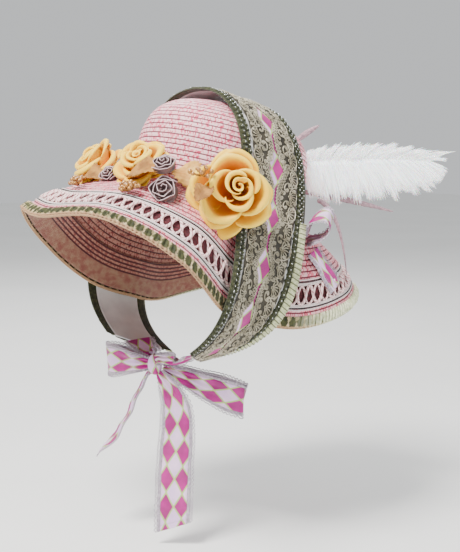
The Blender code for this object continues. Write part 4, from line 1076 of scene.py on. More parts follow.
def make_band_cloth():
    base = band_wall("band_satin", 0.0, 1.0, 0.0, BAND_BASE_LIFT, SATIN, columns=21, relief=satin_gathers)
    kept(base, "white_satin", "band_base")
    ribbon = band_wall("band_ribbon", 0.5 - HARLEQUIN_HALF, 0.5 + HARLEQUIN_HALF, RIBBON_LIFT,
                       RIBBON_LIFT + 0.0006, HARLEQUIN_BAND, columns=11)
    kept(ribbon, "harlequin_ribbon", "band_harlequin")


# The lace's motifs, as flat lines in metres: a fan of strokes in a scalloped arch, and two scrolls
FAN_STROKES = 7
FAN_REACH = 0.0078
FAN_HEART = 0.0018
FAN_ARCH = 0.0093
FAN_PITCH = 0.0190
SCROLL_TURNS = 1.5
SCROLL_SIZE = 0.0042
LACE_THREAD = 0.00058


def polar(radius, angle):
    return np.stack([radius * np.cos(angle), radius * np.sin(angle)], -1)


def fan_lines():
    """Strokes that radiate from the fan's heart, and the scalloped arch round them."""
    lines = []
    for k in range(FAN_STROKES):
        a = mix(radians(12), radians(168), k / (FAN_STROKES - 1))
        steps = np.linspace(0, 1, 4)
        lines.append(polar(mix(FAN_HEART, FAN_REACH, steps), a + 0.10 * np.sin(steps * pi)))
    a = np.linspace(radians(-6), radians(186), 33)
    arch, heart = FAN_ARCH + 0.0006 * np.abs(np.sin(a * 8)), FAN_HEART - 0.0006
    return lines + [polar(arch, a), polar(heart, np.linspace(0, 2 * pi, 13))]


def scroll_lines():
    """Two spirals that turn away from each other, joined by an arch."""
    lines = []
    for side in (-1, 1):
        turn = np.linspace(0, SCROLL_TURNS * 2 * pi, 17)
        radius = mix(0.0004, SCROLL_SIZE / 2, turn / turn[-1])
        lines.append((polar(radius, turn) + (SCROLL_SIZE * 0.75, 0)) * (side, 1))
    a = np.linspace(0, pi, 13)
    lines.append(np.stack([SCROLL_SIZE * np.cos(a), -0.0012 - 0.0026 * np.sin(a)], -1))
    return lines


def flat_tubes(name, lines, thickness):
    """Thin cords along flat lines; the third direction is out of the lace."""
    paths = [np.concatenate([line, np.zeros((len(line), 1))], 1) for line in lines]
    points, faces, _ = tubes(paths, [thickness] * len(paths), 4)
    return make_piece(name, points, faces)


def make_repeat_tree():
    """Sets a motif on every point of a mesh, turned and scaled by the points' own attributes."""
    tree = bpy.data.node_groups.new("repeat_motif", "GeometryNodeTree")
    for name, kind, default in (("Geometry", "Geometry", None), ("Motif", "Object", None),
                                ("Material", "Material", None), ("Size", "Float", 1.0),
                                ("Size variation", "Float", 0.0), ("Turn variation", "Float", 0.0),
                                ("Seed", "Int", 0)):
        socket = tree.interface.new_socket(name, in_out="INPUT", socket_type="NodeSocket" + kind)
        if default is not None:
            socket.default_value = default
    tree.interface.new_socket("Geometry", in_out="OUTPUT", socket_type="NodeSocketGeometry")
    n = Nodes(tree)
    given, out = n.add("NodeGroupInput").outputs, n.add("NodeGroupOutput").inputs
    motif = n.add("GeometryNodeObjectInfo", None, Object=given["Motif"])
    turn = n.add("GeometryNodeInputNamedAttribute", {"data_type": "FLOAT_VECTOR"}, Name="turn")
    size = n.add("GeometryNodeInputNamedAttribute", {"data_type": "FLOAT"}, Name="size")
    vary = n.add("FunctionNodeRandomValue", {"data_type": "FLOAT"}, Seed=given["Seed"])
    swing = n.math("MULTIPLY_ADD", vary.outputs[1], 2.0, -1.0)
    spread = n.math("MULTIPLY_ADD", swing, given["Size variation"], 1.0)
    whole = n.math("MULTIPLY", n.math("MULTIPLY", spread, given["Size"]), size.outputs[0])
    lean = n.add("FunctionNodeRandomValue", {"data_type": "FLOAT_VECTOR"}, Seed=given["Seed"])
    lean.inputs[0].default_value, lean.inputs[1].default_value = (-1, -1, -1), (1, 1, 1)
    tilt = n.add("ShaderNodeVectorMath", {"operation": "SCALE"}, Vector=lean.outputs[0],
                 Scale=given["Turn variation"])
    both = n.add("ShaderNodeVectorMath", {"operation": "ADD"})
    for place, value in enumerate((turn.outputs[0], tilt.outputs[0])):
        n.feed(both.inputs[place], value)
    laid = n.add("GeometryNodeInstanceOnPoints", None, Points=given["Geometry"],
                 Instance=motif.outputs["Geometry"], Rotation=both.outputs[0], Scale=whole)
    real = n.add("GeometryNodeRealizeInstances", None, Geometry=laid.outputs[0])
    paint = n.add("GeometryNodeSetMaterial", None, Geometry=real.outputs[0], Material=given["Material"])
    n.feed(out["Geometry"], paint.outputs[0])
    return tree


REPEAT = make_repeat_tree()


def repeat(name, motif, points, material, turns=None, sizes=None, **inputs):
    """One plain mesh of the motif set on every point by the repeat tree."""
    points = np.asarray(points, float).reshape(-1, 3)
    mesh = bpy.data.meshes.new(name)
    mesh.from_pydata(points, [], [])
    turns = np.zeros_like(points) if turns is None else turns
    sizes = np.ones(len(points)) if sizes is None else sizes
    for word, kind, field, values in (("turn", "FLOAT_VECTOR", "vector", turns),
                                      ("size", "FLOAT", "value", sizes)):
        attribute = mesh.attributes.new(word, kind, "POINT")
        attribute.data.foreach_set(field, np.asarray(values, np.float32).ravel())
    piece = put(name, mesh)
    modifier = piece.modifiers.new("repeat", "NODES")
    modifier.node_group = REPEAT
    given = {key.replace("_", " "): value for key, value in inputs.items()}
    given.update(Motif=motif, Material=material)
    for item in REPEAT.interface.items_tree:
        if item.in_out == "INPUT" and item.name in given:
            modifier[item.identifier] = given[item.name]
    baked = bpy.data.meshes.new_from_object(piece.evaluated_get(bpy.context.evaluated_depsgraph_get()))
    piece.modifiers.clear()
    piece.data = baked
    baked.name = name
    baked.shade_smooth()
    for attribute in ("turn", "size"):
        found = baked.attributes.get(attribute)
        if found:
            baked.attributes.remove(found)
    return piece


def discard(*items):
    for item in items:
        bpy.data.objects.remove(item, do_unlink=True)


def lay_flat_on_band(piece, lift):
    """Bends a flat piece, whose x is run and y is metres across, onto the band."""
    return bend_piece(piece, lambda x, y, z: band_at(x, y / BAND_WIDTH, lift + z))


LACE_OUT = 0.035             # where the lace's scallops reach, as a share of the band's width


LACE_BORDERS = ((0.0008, 0.0007), (0.0026, 0.0010), (0.0050, 0.0012))   # inset from the eyes, and wave
LACE_WAVE = 0.0034           # pitch of the borders' waves
FAN_ROWS = ((0.0098, 0.0),)  # rows of motifs: metres in from the outer edge, and shift in pitches
SCROLL_ROWS = ((0.0125, 0.5), (0.0185, 0.0), (0.0035, 0.5))
MOTIF_ROOM = 0.0022          # that a motif keeps from the eyes
BAND_END = 0.006             # without motifs


def make_guipure():
    """Two rows of metallic lace: a thin dark ground that is painted shade between the motifs, fans and
    scrolls, and a looped edge by the eyes.
    """
    fan = flat_tubes("fan_motif", fan_lines(), LACE_THREAD)
    scroll = flat_tubes("scroll_motif", scroll_lines(), LACE_THREAD)
    slot = "guipure_lace"
    count = int(BAND_LENGTH / FAN_PITCH)
    run = (np.arange(count) + 0.5 - count / 2) * FAN_PITCH
    fine = np.linspace(-BAND_LENGTH / 2, BAND_LENGTH / 2, 1100)
    for name, side in (("front", -1), ("rear", 1)):
        outer_edge = 0.5 + side * (0.5 - LACE_OUT)

        def outer(run):
            return outer_edge + side * 0.02 * (np.abs(np.cos(run / FAN_PITCH * pi)) - 0.5)

        def inner(run):
            return 0.5 + side * eye_half(run)

        edges = (outer, inner) if side < 0 else (inner, outer)
        # a dark sheet under the motifs: painted shade between them
        ground = band_wall(f"lace_ground_{name}", *edges, LACE_LIFT - 0.0006, LACE_LIFT, GUIPURE_SHADOW_GROUND,
                           columns=9)
        kept(ground, slot, f"band_lace_{name}")
        turn = 0.0 if side > 0 else pi
        for word, motif, rows in (("fans", fan, FAN_ROWS), ("scrolls", scroll, SCROLL_ROWS)):
            points, turns = [], []
            for reach, offset in rows:
                place = run + FAN_PITCH * offset
                room = np.abs(outer_edge - inner(place)) * BAND_WIDTH
                place = place[(room > reach + MOTIF_ROOM) & (np.abs(place) < BAND_LENGTH / 2 - BAND_END)]
                points += [(x, outer_edge * BAND_WIDTH - side * reach, 0.0) for x in place]
                turns += [(0, 0, turn + 0.4 * sin(31 * x) * (motif is scroll)) for x in place]
            laid = repeat(f"lace_{word}_{name}", motif, points, GUIPURE, turns, Size_variation=0.10,
                          Turn_variation=0.05, Seed=5)
            kept(lay_flat_on_band(laid, LACE_LIFT + 0.0006), slot)
        lines = []
        phase = fine / LACE_WAVE * 2 * pi
        for k, (inset, wave) in enumerate(LACE_BORDERS):
            across = inner(fine) * BAND_WIDTH + side * (inset + wave * np.sin(phase + k))
            v = np.clip(across / BAND_WIDTH, 0.1, 0.9)
            lines.append(band_at(fine, v, LACE_LIFT + 0.0003 + 0.0002 * np.sin(phase)))
        kept(cords(f"lace_border_{name}", lines, [0.0006, 0.0005, 0.0005], GUIPURE, sides=4), slot)
    discard(fan, scroll)


TUFT_PITCH = 0.0058
TUFT_LONG, TUFT_WIDE, TUFT_HIGH = 0.0062, 0.0058, 0.0020
TUFT_LIFT, BEAD_LIFT, BEAD = 0.0014, 0.0034, 0.00085
Trim = namedtuple("Trim", "name v_low v_high tuft_rows bead_rows")
TRIMS = (                    # tuft_rows: metres across the band
    Trim("front", -0.19, -0.005, (-0.0022, -0.0072), 2),
    Trim("rear", 1.005, 1.20, (0.0602, 0.0652), 3),
)
PLEATS_FROM = 0.185          # length from the band's top down to where pleats edge its rear trim
PLEATS_LOW, PLEATS_HIGH = 1.10, 1.232


def make_ball(name, subdivisions, radius, shape):
    """A small round motif; shape gives each of its points a new place."""
    mesh = bpy.data.meshes.new(name)
    work = bmesh.new()
    bmesh.ops.create_icosphere(work, subdivisions=subdivisions, radius=radius)
    for v in work.verts:
        v.co = shape(v.co)
    work.to_mesh(mesh)
    work.free()
    return put(name, mesh)


def make_tuft():
    """A soft lump of velvet ruching."""
    random = np.random.default_rng(8)

    def lump(co):
        rough = 1 + random.uniform(-0.12, 0.12)
        return Vector((co.x * TUFT_LONG / 2, co.y * TUFT_WIDE / 2, max(co.z, -0.4) * TUFT_HIGH)) * rough

    return make_ball("tuft_motif", 2, 1.0, lump)


def make_bead(name, radius, squash=0.8, subdivisions=1):
    return make_ball(name, subdivisions, radius, lambda co: Vector((co.x, co.y, co.z * squash)))


def make_trims():
    """Velvet ruching and silver beads on both edges, and pleated ribbon on the lower rear edge."""
    tuft = make_tuft()
    bead = make_bead("bead_motif", BEAD)
    count = int(BAND_LENGTH / TUFT_PITCH)
    run = (np.arange(count) + 0.5 - count / 2) * TUFT_PITCH
    above_pleats = run[np.abs(run) <= PLEATS_FROM]
    for name, v_low, v_high, rows, bead_rows in TRIMS:
        back = band_wall(f"trim_backing_{name}", v_low, v_high, 0.0, 0.0012, OLIVE_VELVET, columns=5)
        kept(back, "olive_velvet", f"band_trim_{name}")
        outer_run = run if name == "front" else above_pleats
        points = [(x + TUFT_PITCH / 2 * k, y, 0.0) for k, y in enumerate(rows)
                  for x in (outer_run if k else run)]
        turns = [(0, 0, 0.5 * sin(57 * x)) for x, _, _ in points]
        tufts = repeat(f"trim_tufts_{name}", tuft, points, OLIVE_VELVET, turns, Size_variation=0.22,
                       Turn_variation=0.15, Seed=11)
        kept(lay_flat_on_band(tufts, TUFT_LIFT), "olive_velvet")
        beads = [(x + TUFT_PITCH * 0.5 * k, y, 0.0) for k, y in enumerate(np.linspace(*rows, bead_rows))
                 for x in (outer_run if k else run)]
        strung = repeat(f"trim_beads_{name}", bead, beads, SILVER, Size_variation=0.25, Seed=3)
        kept(lay_flat_on_band(strung, BEAD_LIFT), "olive_velvet")

    def pleated(run, v):
        return 0.0016 * np.abs(np.sin(run / PLEAT * pi)) ** 0.7 * np.clip((v - 1.0) * 8, 0, 1)

    for side in (1, -1):
        run = np.linspace(PLEATS_FROM, BAND_LENGTH / 2, 400)[:, None] * side
        v = np.linspace(PLEATS_LOW, PLEATS_HIGH, 7)[None]
        over, under = band_at(run, v, 0.0016 + pleated(run, v)), band_at(run, v, 0.0013)
        pleats = wall("pleat_ribbon_" + ("left" if side > 0 else "right"), over, under, GREEN_PLEAT,
                      run + BAND_LENGTH, v * BAND_WIDTH)
        kept(pleats, "olive_velvet")
    discard(tuft, bead)


# Ribbons: ties, bow, tails and the bow at the back

KNOT = np.array((0, -0.075, -0.167)) - SEAT
KNOT_WIDTH, KNOT_HEIGHT, KNOT_DEPTH = 0.014, 0.022, 0.013
PINCH = 0.36                 # ribbon width at the knot, as a share
CLOTH_SHARE = 0.8            # printed cloth between the lace edges, as a share of the ribbon's width
SHEET = 0.0005
PLEATS = 3
PLEAT_DEPTH = 0.9            # of the depth that would take up all the slack
CURL_LENGTH = 0.03           # of a tail's end that curls and slants
SWAY_PITCH = 0.034
SWAY, SMALL_SWAY = 0.0009, 0.0005
LOOP_OPEN = 0.006
LOOP_PATH = ((0.0, 0.2), (0.3, 0.9), (0.75, 1.1), (1.0, 0.0), (0.75, -1.0), (0.3, -0.8), (0.0, -0.2))
Loop = namedtuple("Loop", "name node bearing rise length")
LOOPS = (
    Loop("loop_left", "bow_loop_left", -72, -1, 0.060),
    Loop("loop_right", "bow_loop_right", 135, -21, 0.093),
)
TIE_LAP, TIE_RUN, TIE_RISE, TIE_LEAD, TIE_LIFT = 0.08, 0.9, 32, 0.006, 0.0028
TIE_SHARES = (1.0, 0.9, 0.5, PINCH, PINCH)
Tie = namedtuple("Tie", "name side bearing")
TIES = (Tie("tie_left", 1, 68), Tie("tie_right", -1, -120))
Tail = namedtuple("Tail", "name length lead lead_bearing lead_fall bearing fall bow across_start across "
                          "spread slant curl")
TAILS = (
    Tail("tail_long", 0.172, 0.26, 96, 52, -20, 88, 0.02, 100, 133, 1.10, -0.007, 0.0),
    Tail("tail_short", 0.106, 0.25, -75, 52, -60, 60, 0.04, 40, 60, 0.85, 0.008, 0.007),
)
HEM = 0.006                  # hem at a tail's end
LACE_PITCH, LACE_CORD, LACE_KNOT = 0.0042, 0.0005, 0.0007
REAR_BOW_ANGLE, REAR_BOW_SHARE, REAR_LOOP, REAR_LOOP_TURN = radians(119), 0.27, 0.036, radians(35)
REAR_LOOP_PATH = ((0.0, 0.0), (0.16, 0.45), (0.05, 0.9), (-0.25, 1.0), (-0.40, 0.6), (-0.2, 0.12))
REAR_TAIL, REAR_TAIL_FROM, REAR_TAIL_TURN, REAR_TAIL_LIFT = 0.36, 0.10, radians(2), 0.0022
UP = np.array((0.0, 0.0, 1.0))


def heading(bearing, rise):
    """A unit direction: bearing in degrees from the front towards the wearer's left, and degrees up."""
    b, r = radians(bearing), radians(rise)
    return np.array((sin(b) * cos(r), -cos(b) * cos(r), sin(r)))


def node_points(name):
    return np.array([tuple(v.co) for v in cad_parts[name].data.vertices])


def from_knot(way, out=0.0):
    reach = ((node_points("bow_knot") - KNOT) @ way).max()
    return KNOT + way * (reach + GAP + out)


class Strip:
    """A ribbon along a path, whose slack is taken up in pleats where it is drawn together."""

    def __init__(self, path, acrosses, widths, steps=96, phase=0.0, slant=0.0, curl=0.0, sway=SWAY):
        self.centres = curve_through(path, steps)
        turns = curve_through(unit(np.array(acrosses, float)), steps)
        self.wide = curve_through([(w, 0, 0) for w in widths], steps)[:, 0]
        ahead = unit(np.gradient(self.centres, axis=0))
        self.across = unit(turns - ahead * (turns * ahead).sum(-1, keepdims=True))
        self.normal = unit(np.cross(ahead, self.across))
        self.run = along_lengths(self.centres)
        slack = np.sqrt(np.clip(RIBBON_WIDTH ** 2 - self.wide ** 2, 0, None))
        self.fold = PLEAT_DEPTH * slack / (4 * PLEATS) * np.clip(1 - self.wide / RIBBON_WIDTH, 0, 1) ** 0.3
        self.ahead, self.phase, self.slant, self.curl, self.sway = ahead, phase, slant, curl, sway
        self.near_end = smooth_step((self.run - self.run[-1] + CURL_LENGTH) / CURL_LENGTH)

    def at(self, place, lift=0.0):
        """Points at every step; place is from -1 to 1 across, a row of them or one row for each step."""
        place = np.atleast_2d(np.asarray(place, float))
        run, near_end = self.run[:, None], self.near_end[:, None]
        bend = self.fold[:, None] * np.cos(place * PLEATS * pi + self.phase)
        bend = bend + self.sway * np.sin(run / SWAY_PITCH * 2 * pi + place * 1.6 + self.phase)
        bend = bend + self.curl * (near_end ** 2) * (0.6 + 0.4 * place)
        along = self.slant * near_end * place
        return (self.centres[:, None] + self.across[:, None] * (place * self.wide[:, None] / 2)[..., None]
                + self.normal[:, None] * (bend + lift)[..., None] + self.ahead[:, None] * along[..., None])

    def edge(self, place, lift):
        """One line along the strip; place may vary along it."""
        return self.at(np.broadcast_to(place, self.run.shape)[:, None], lift)[:, 0]


def printed(name, strip, outside):
    """The cloth of a strip, printed on the face that its normal leaves (outside 1) or the other (-1)."""
    places = np.linspace(-CLOTH_SHARE, CLOTH_SHARE, 21)
    front, back = (HARLEQUIN, HARLEQUIN_BACK)[::outside]
    over, under = strip.at(places, SHEET / 2), strip.at(places, -SHEET / 2)
    cloth = wall(name, over, under, front, strip.run[:, None], places[None] * RIBBON_WIDTH / 2)
    paint_under(cloth, (len(strip.run) - 1) * (len(places) - 1), back)
    return kept(cloth, "harlequin_ribbon")


def lace_edges(name, strip, bead):
    """Scalloped lace on both edges of a strip: a narrow ground, a looped cord, a knot in each loop."""
    pieces = []
    run, slot = strip.run, "harlequin_ribbon"
    fine = np.linspace(0, run[-1], max(int(run[-1] / LACE_PITCH * 8), 16))
    stops = (np.arange(int(run[-1] / LACE_PITCH)) + 0.5) * LACE_PITCH
    scallop = np.abs(np.sin(run / LACE_PITCH * pi))
    for word, side in (("a", -1), ("b", 1)):
        share = np.stack([np.full_like(run, CLOTH_SHARE - 0.01), 0.96 + 0.08 * scallop], -1) * side
        rows = [np.stack([strip.edge(share[:, k], lift) for k in (0, 1)], 1) for lift in (0.0002, -0.0002)]
        ground = wall(f"{name}_lace_{word}", *rows, LACE_EDGE, run[:, None], share * RIBBON_WIDTH / 2)
        outer = read_line(strip.edge(side * (0.99 + 0.20 * scallop), 0.0), run, fine)
        loops = cords(f"{name}_loops_{word}", [outer], [LACE_CORD], LACE_EDGE, sides=5)
        knots = read_line(strip.edge(side * 0.95, 0.0003), run, stops)
        beads = repeat(f"{name}_knots_{word}", bead, knots, LACE_EDGE, Size_variation=0.2, Seed=7)
        pieces += [kept(ground, slot), kept(loops, slot), kept(beads, slot)]
    return pieces


def make_ribbon(name, node, strip, outside, bead):
    cloth = printed(name, strip, outside)
    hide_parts(node)
    lace_edges(name, strip, bead)
    return cloth


def make_knot():
    """The knot: the ribbon wrapped once round, with creases down it."""
    rows, sides = 25, 72
    down = np.linspace(0.02, pi - 0.02, rows)[:, None]
    turn = (np.arange(sides) * 2 * pi / sides)[None]
    square = (np.abs(np.cos(turn)) ** 3 + np.abs(np.sin(turn)) ** 3) ** (-1 / 3)
    crease = 1 + 0.07 * np.sin(5 * turn + 1.5 * np.cos(down)) + 0.04 * np.sin(11 * turn + down)
    out = np.sin(down) ** 0.6 * square * crease
    points = np.stack([KNOT_WIDTH / 2 * out * np.cos(turn), KNOT_DEPTH / 2 * out * np.sin(turn),
                       -KNOT_HEIGHT / 2 * np.cos(down) * np.ones_like(turn)], -1) + KNOT
    faces, uvs = [], []
    for i in range(rows - 1):
        for k in range(sides):
            n = (k + 1) % sides
            faces.append((i * sides + k, i * sides + n, (i + 1) * sides + n, (i + 1) * sides + k))
            uvs += [(a * 0.0012, b * 0.0006) for a, b in ((i, k), (i, k + 1), (i + 1, k + 1), (i + 1, k))]
    flat = points.reshape(-1, 3)
    ends = [flat[:sides].mean(0), flat[-sides:].mean(0)]
    flat = np.concatenate([flat, ends])
    for base, tip in ((0, len(flat) - 2), ((rows - 1) * sides, len(flat) - 1)):
        for k in range(sides):
            faces.append((tip, base + (k + 1) % sides, base + k))
            uvs += [(0, 0), (0, 0.001), (0.001, 0)]
    wrap = make_piece("knot_wrap", flat, faces, HARLEQUIN, uvs, outward=True)
    kept(wrap, "harlequin_ribbon", "bow_knot")


def make_bow():
    bead = make_bead("lace_knot_motif", LACE_KNOT)
    make_knot()
    for loop in LOOPS:
        way = heading(loop.bearing, loop.rise)
        off = unit(np.cross(way, UP))
        start = from_knot(way)
        path = [start + way * (loop.length * s) + off * (LOOP_OPEN * n) for s, n in LOOP_PATH]
        widths = [RIBBON_WIDTH * mix(PINCH, 1.0, min(1.0, s * 1.3)) for s, _ in LOOP_PATH]
        strip = Strip(path, [UP] * len(path), widths, steps=140, phase=0.6)
        make_ribbon(loop.name, loop.node, strip, 1, bead)
    for tie in TIES:
        station = 1.0 if tie.side == 1 else 0.0
        step = tie.side / BAND_STATIONS
        hem = BAND.at(station - step * TIE_LAP, 0.5, -TIE_LIFT - RIBBON / 2)
        across = unit(BAND.at(station, 1.0) - BAND.at(station, 0.0))
        way = heading(tie.bearing, TIE_RISE)
        end = from_knot(way, GAP)
        leave = hem + (BAND.at(station, 0.5) - BAND.at(station - step, 0.5)) * TIE_RUN
        near = end + way * TIE_LEAD
        last = UP * -tie.side
        path = [hem, leave, mix(leave, near, 0.5), near, end]
        widths = [RIBBON_WIDTH * share for share in TIE_SHARES]
        strip = Strip(path, [across, across, mix(across, last, 0.6), last, last], widths, phase=0.4,
                      sway=SMALL_SWAY)
        make_ribbon(tie.name + "_ribbon", tie.name, strip, 1,
                    bead)
    for tail in TAILS:
        way = heading(tail.lead_bearing, -tail.lead_fall)
        start = from_knot(way)
        bend = start + way * (tail.length * tail.lead)
        end = bend + heading(tail.bearing, -tail.fall) * (tail.length * (1 - tail.lead))
        path = [start, bend, mix(bend, end, 0.5) - UP * (tail.length * tail.bow), end]
        last = heading(tail.across, 0)
        shares = (PINCH, tail.spread * 0.85, tail.spread, tail.spread)
        widths = [RIBBON_WIDTH * share for share in shares]
        first = heading(tail.across_start, 0)
        strip = Strip(path, [first, last, last, last], widths, steps=140, phase=0.2, slant=tail.slant,
                      curl=tail.curl)
        make_ribbon(tail.name + "_ribbon", tail.name, strip, 1, bead)
        stitch = strip.at(np.linspace(-CLOTH_SHARE, CLOTH_SHARE, 41), SHEET / 2 + 0.0002)
        row = np.searchsorted(strip.run, strip.run[-1] - HEM)
        lines = [stitch[row, k:k + 2] for k in range(0, 40, 2)]
        kept(cords(tail.name + "_hem_stitches", lines, [0.0003] * len(lines), LACE_EDGE, sides=4),
             "harlequin_ribbon")
    make_rear_bow(bead)
    discard(bead)


def brim_at(angle, share, lift=0.0):
    return BRIM.at(angle / (2 * pi), share, lift)


def box_middle(points):
    points = np.asarray(points).reshape(-1, 3)
    return (points.min(0) + points.max(0)) / 2


REAR_LOOP_SHARES = (0.5, 0.8, 0.9, 0.9, 0.8, 0.5)
REAR_TAIL_SHARE = 0.8


def place_over(node, path, acrosses, widths, steps):
    """Moves a path so that its plain strip lies where the solid does."""
    coarse = Strip(path, acrosses, widths, steps=steps, sway=0.0)
    return path + box_middle(node_points(node)) - box_middle(coarse.at([-1, 1]))


def make_rear_bow(bead):
    """A loop and a tail of the printed ribbon on the brim behind the band, where the solids lie."""
    root = brim_at(REAR_BOW_ANGLE, REAR_BOW_SHARE, GAP + RIBBON)
    skin = brim_at(REAR_BOW_ANGLE, REAR_BOW_SHARE)
    up = unit(brim_at(REAR_BOW_ANGLE, REAR_BOW_SHARE, 0.01) - skin)
    out = unit(brim_at(REAR_BOW_ANGLE, REAR_BOW_SHARE + 0.1) - skin)
    side = np.cross(up, out)
    ahead = out * cos(REAR_LOOP_TURN) + side * sin(REAR_LOOP_TURN)
    across = side * cos(REAR_LOOP_TURN) - out * sin(REAR_LOOP_TURN)
    path = np.array([root + ahead * (REAR_LOOP * x) + up * (REAR_LOOP * y) for x, y in REAR_LOOP_PATH])
    turns, widths = [across] * len(path), [RIBBON_WIDTH * share for share in REAR_LOOP_SHARES]
    path = place_over("rear_loop", path, turns, widths, 13)
    strip = Strip(path, turns, widths, steps=100, phase=0.3)
    make_ribbon("rear_loop_ribbon", "rear_loop", strip, -1, bead)
    k = np.arange(5)
    path = brim_at(REAR_BOW_ANGLE + REAR_TAIL_TURN * k, REAR_BOW_SHARE + REAR_TAIL_FROM + REAR_TAIL * k / 4,
                   REAR_TAIL_LIFT)
    turns, widths = [side] * len(path), [RIBBON_WIDTH * REAR_TAIL_SHARE] * len(path)
    path = place_over("rear_tail", path, turns, widths, 9)
    strip = Strip(path, turns, widths, steps=60, phase=0.5, sway=SMALL_SWAY)
    make_ribbon("rear_tail_ribbon", "rear_tail", strip, 1,
                bead)


# Roses, leaves and berries

PETAL_CLOTH, LEAF_THICKNESS, FOLD_THICKNESS = 0.0007, 0.0006, 0.0005
# Layers of a rose from the outside in. Reach is a share of the rose's radius and height of its depth,
# bulge how far the cup swells, roll the size of the lip in metres and turn its degrees.
Layer = namedtuple("Layer", "petals reach height bulge roll turn start")
ROSE_LAYERS = (
    Layer(5, 0.94, 0.24, 0.58, 0.0040, 150, 0.2),
    Layer(4, 0.86, 0.50, 0.70, 0.0044, 180, 0.9),
    Layer(3, 0.68, 0.76, 0.88, 0.0042, 195, 0.1),
    Layer(3, 0.46, 0.94, 1.02, 0.0034, 200, 1.0),
    Layer(2, 0.27, 1.04, 1.06, 0.0022, 170, 2.2),
)
HEART_REACH, HEART_TURNS = 0.14, 1.25
PETAL_ACROSS, PETAL_ROWS, LIP_ROWS = 19, 11, 8
PETAL_ROOT = 0.22            # of its reach
Bloom = namedtuple("Bloom", "name angle share lift bearing rise radius depth turn lean",
                   defaults=((0, 0),))
ROSES = (
    Bloom("rose_large", 57, 0.29, 0.02, 57, 8, 0.0395, 0.030, 60, (0.34, 0.26)),
    Bloom("rose_front", 16, 0.22, 0.02, 18, 48, 0.0285, 0.026, 20, (0.05, 0.10)),
    Bloom("rose_far", -27, 0.26, 0.02, -8, 44, 0.0305, 0.026, 100, (0.0, 0.05)),
)
RIBBON_ROSES = (
    Bloom("ribbon_rose_1", 35, 0.54, 0.02, 45, 35, 0.0145, 0.013, 0),
    Bloom("ribbon_rose_2", 0, 0.34, 0.02, 20, 45, 0.0110, 0.010, 40),
    Bloom("ribbon_rose_3", 32, 0.33, 0.02, 40, 55, 0.0120, 0.011, 80),
)
LEAVES = (
    Bloom("leaf_1", 36, 0.16, 0.03, 40, 50, 0.036, 0.028, 60),
    Bloom("leaf_2", 24, 0.42, 0.03, 25, 60, 0.040, 0.026, 170),
    Bloom("leaf_3", -12, 0.42, 0.03, 0, 60, 0.040, 0.024, 175),
    Bloom("leaf_4", 48, 0.50, 0.03, 50, 50, 0.024, 0.016, 120),
)
Cluster = namedtuple("Cluster", "name angle share lift bearing rise berries turn")
BERRY_CLUSTERS = (
    Cluster("berries_1", -5, 0.56, 0.03, -20, 65, 13, 0),
    Cluster("berries_2", 22, 0.60, 0.03, 5, 65, 24, 0),
    Cluster("berries_3", 47, 0.42, 0.03, 50, 50, 9, 0),
)
BERRY, BERRY_HEART, BERRY_SPREAD, BERRY_STRETCH = 0.0022, 0.0062, 0.0072, 1.8


def facing_frame(way, turn=0.0):
    side = unit(np.cross(way, UP))
    up = unit(np.cross(side, way))
    t = radians(turn)
    return side * cos(t) + up * sin(t), up * cos(t) - side * sin(t)


def bloom_frame(bloom, foot=0.0):
    """Origin and three directions of a flower, its foot where its solid's foot is."""
    way = heading(bloom.bearing, bloom.rise)
    seat = brim_at(radians(bloom.angle), bloom.share, bloom.lift)
    level = (node_points(bloom.name) @ way).min() - foot
    side, up = facing_frame(way, bloom.turn)
    return seat + way * (level - seat @ way), side, up, way


def sheet_wall(name, grid, thickness, material, us, vs):
    """A closed thin wall over a grid of points."""
    normals = unit(np.cross(np.gradient(grid, axis=0), np.gradient(grid, axis=1)))
    return wall(name, grid + normals * thickness / 2, grid - normals * thickness / 2, material, us, vs)


def joined(name, pieces):
    """One piece of many; their UV maps are kept."""
    work = bmesh.new()
    for piece in pieces:
        work.from_mesh(piece.data)
    mesh = bpy.data.meshes.new(name)
    work.to_mesh(mesh)
    work.free()
    for material in pieces[0].data.materials:
        mesh.materials.append(material)
    mesh.shade_smooth()
    discard(*pieces)
    return put(name, mesh)


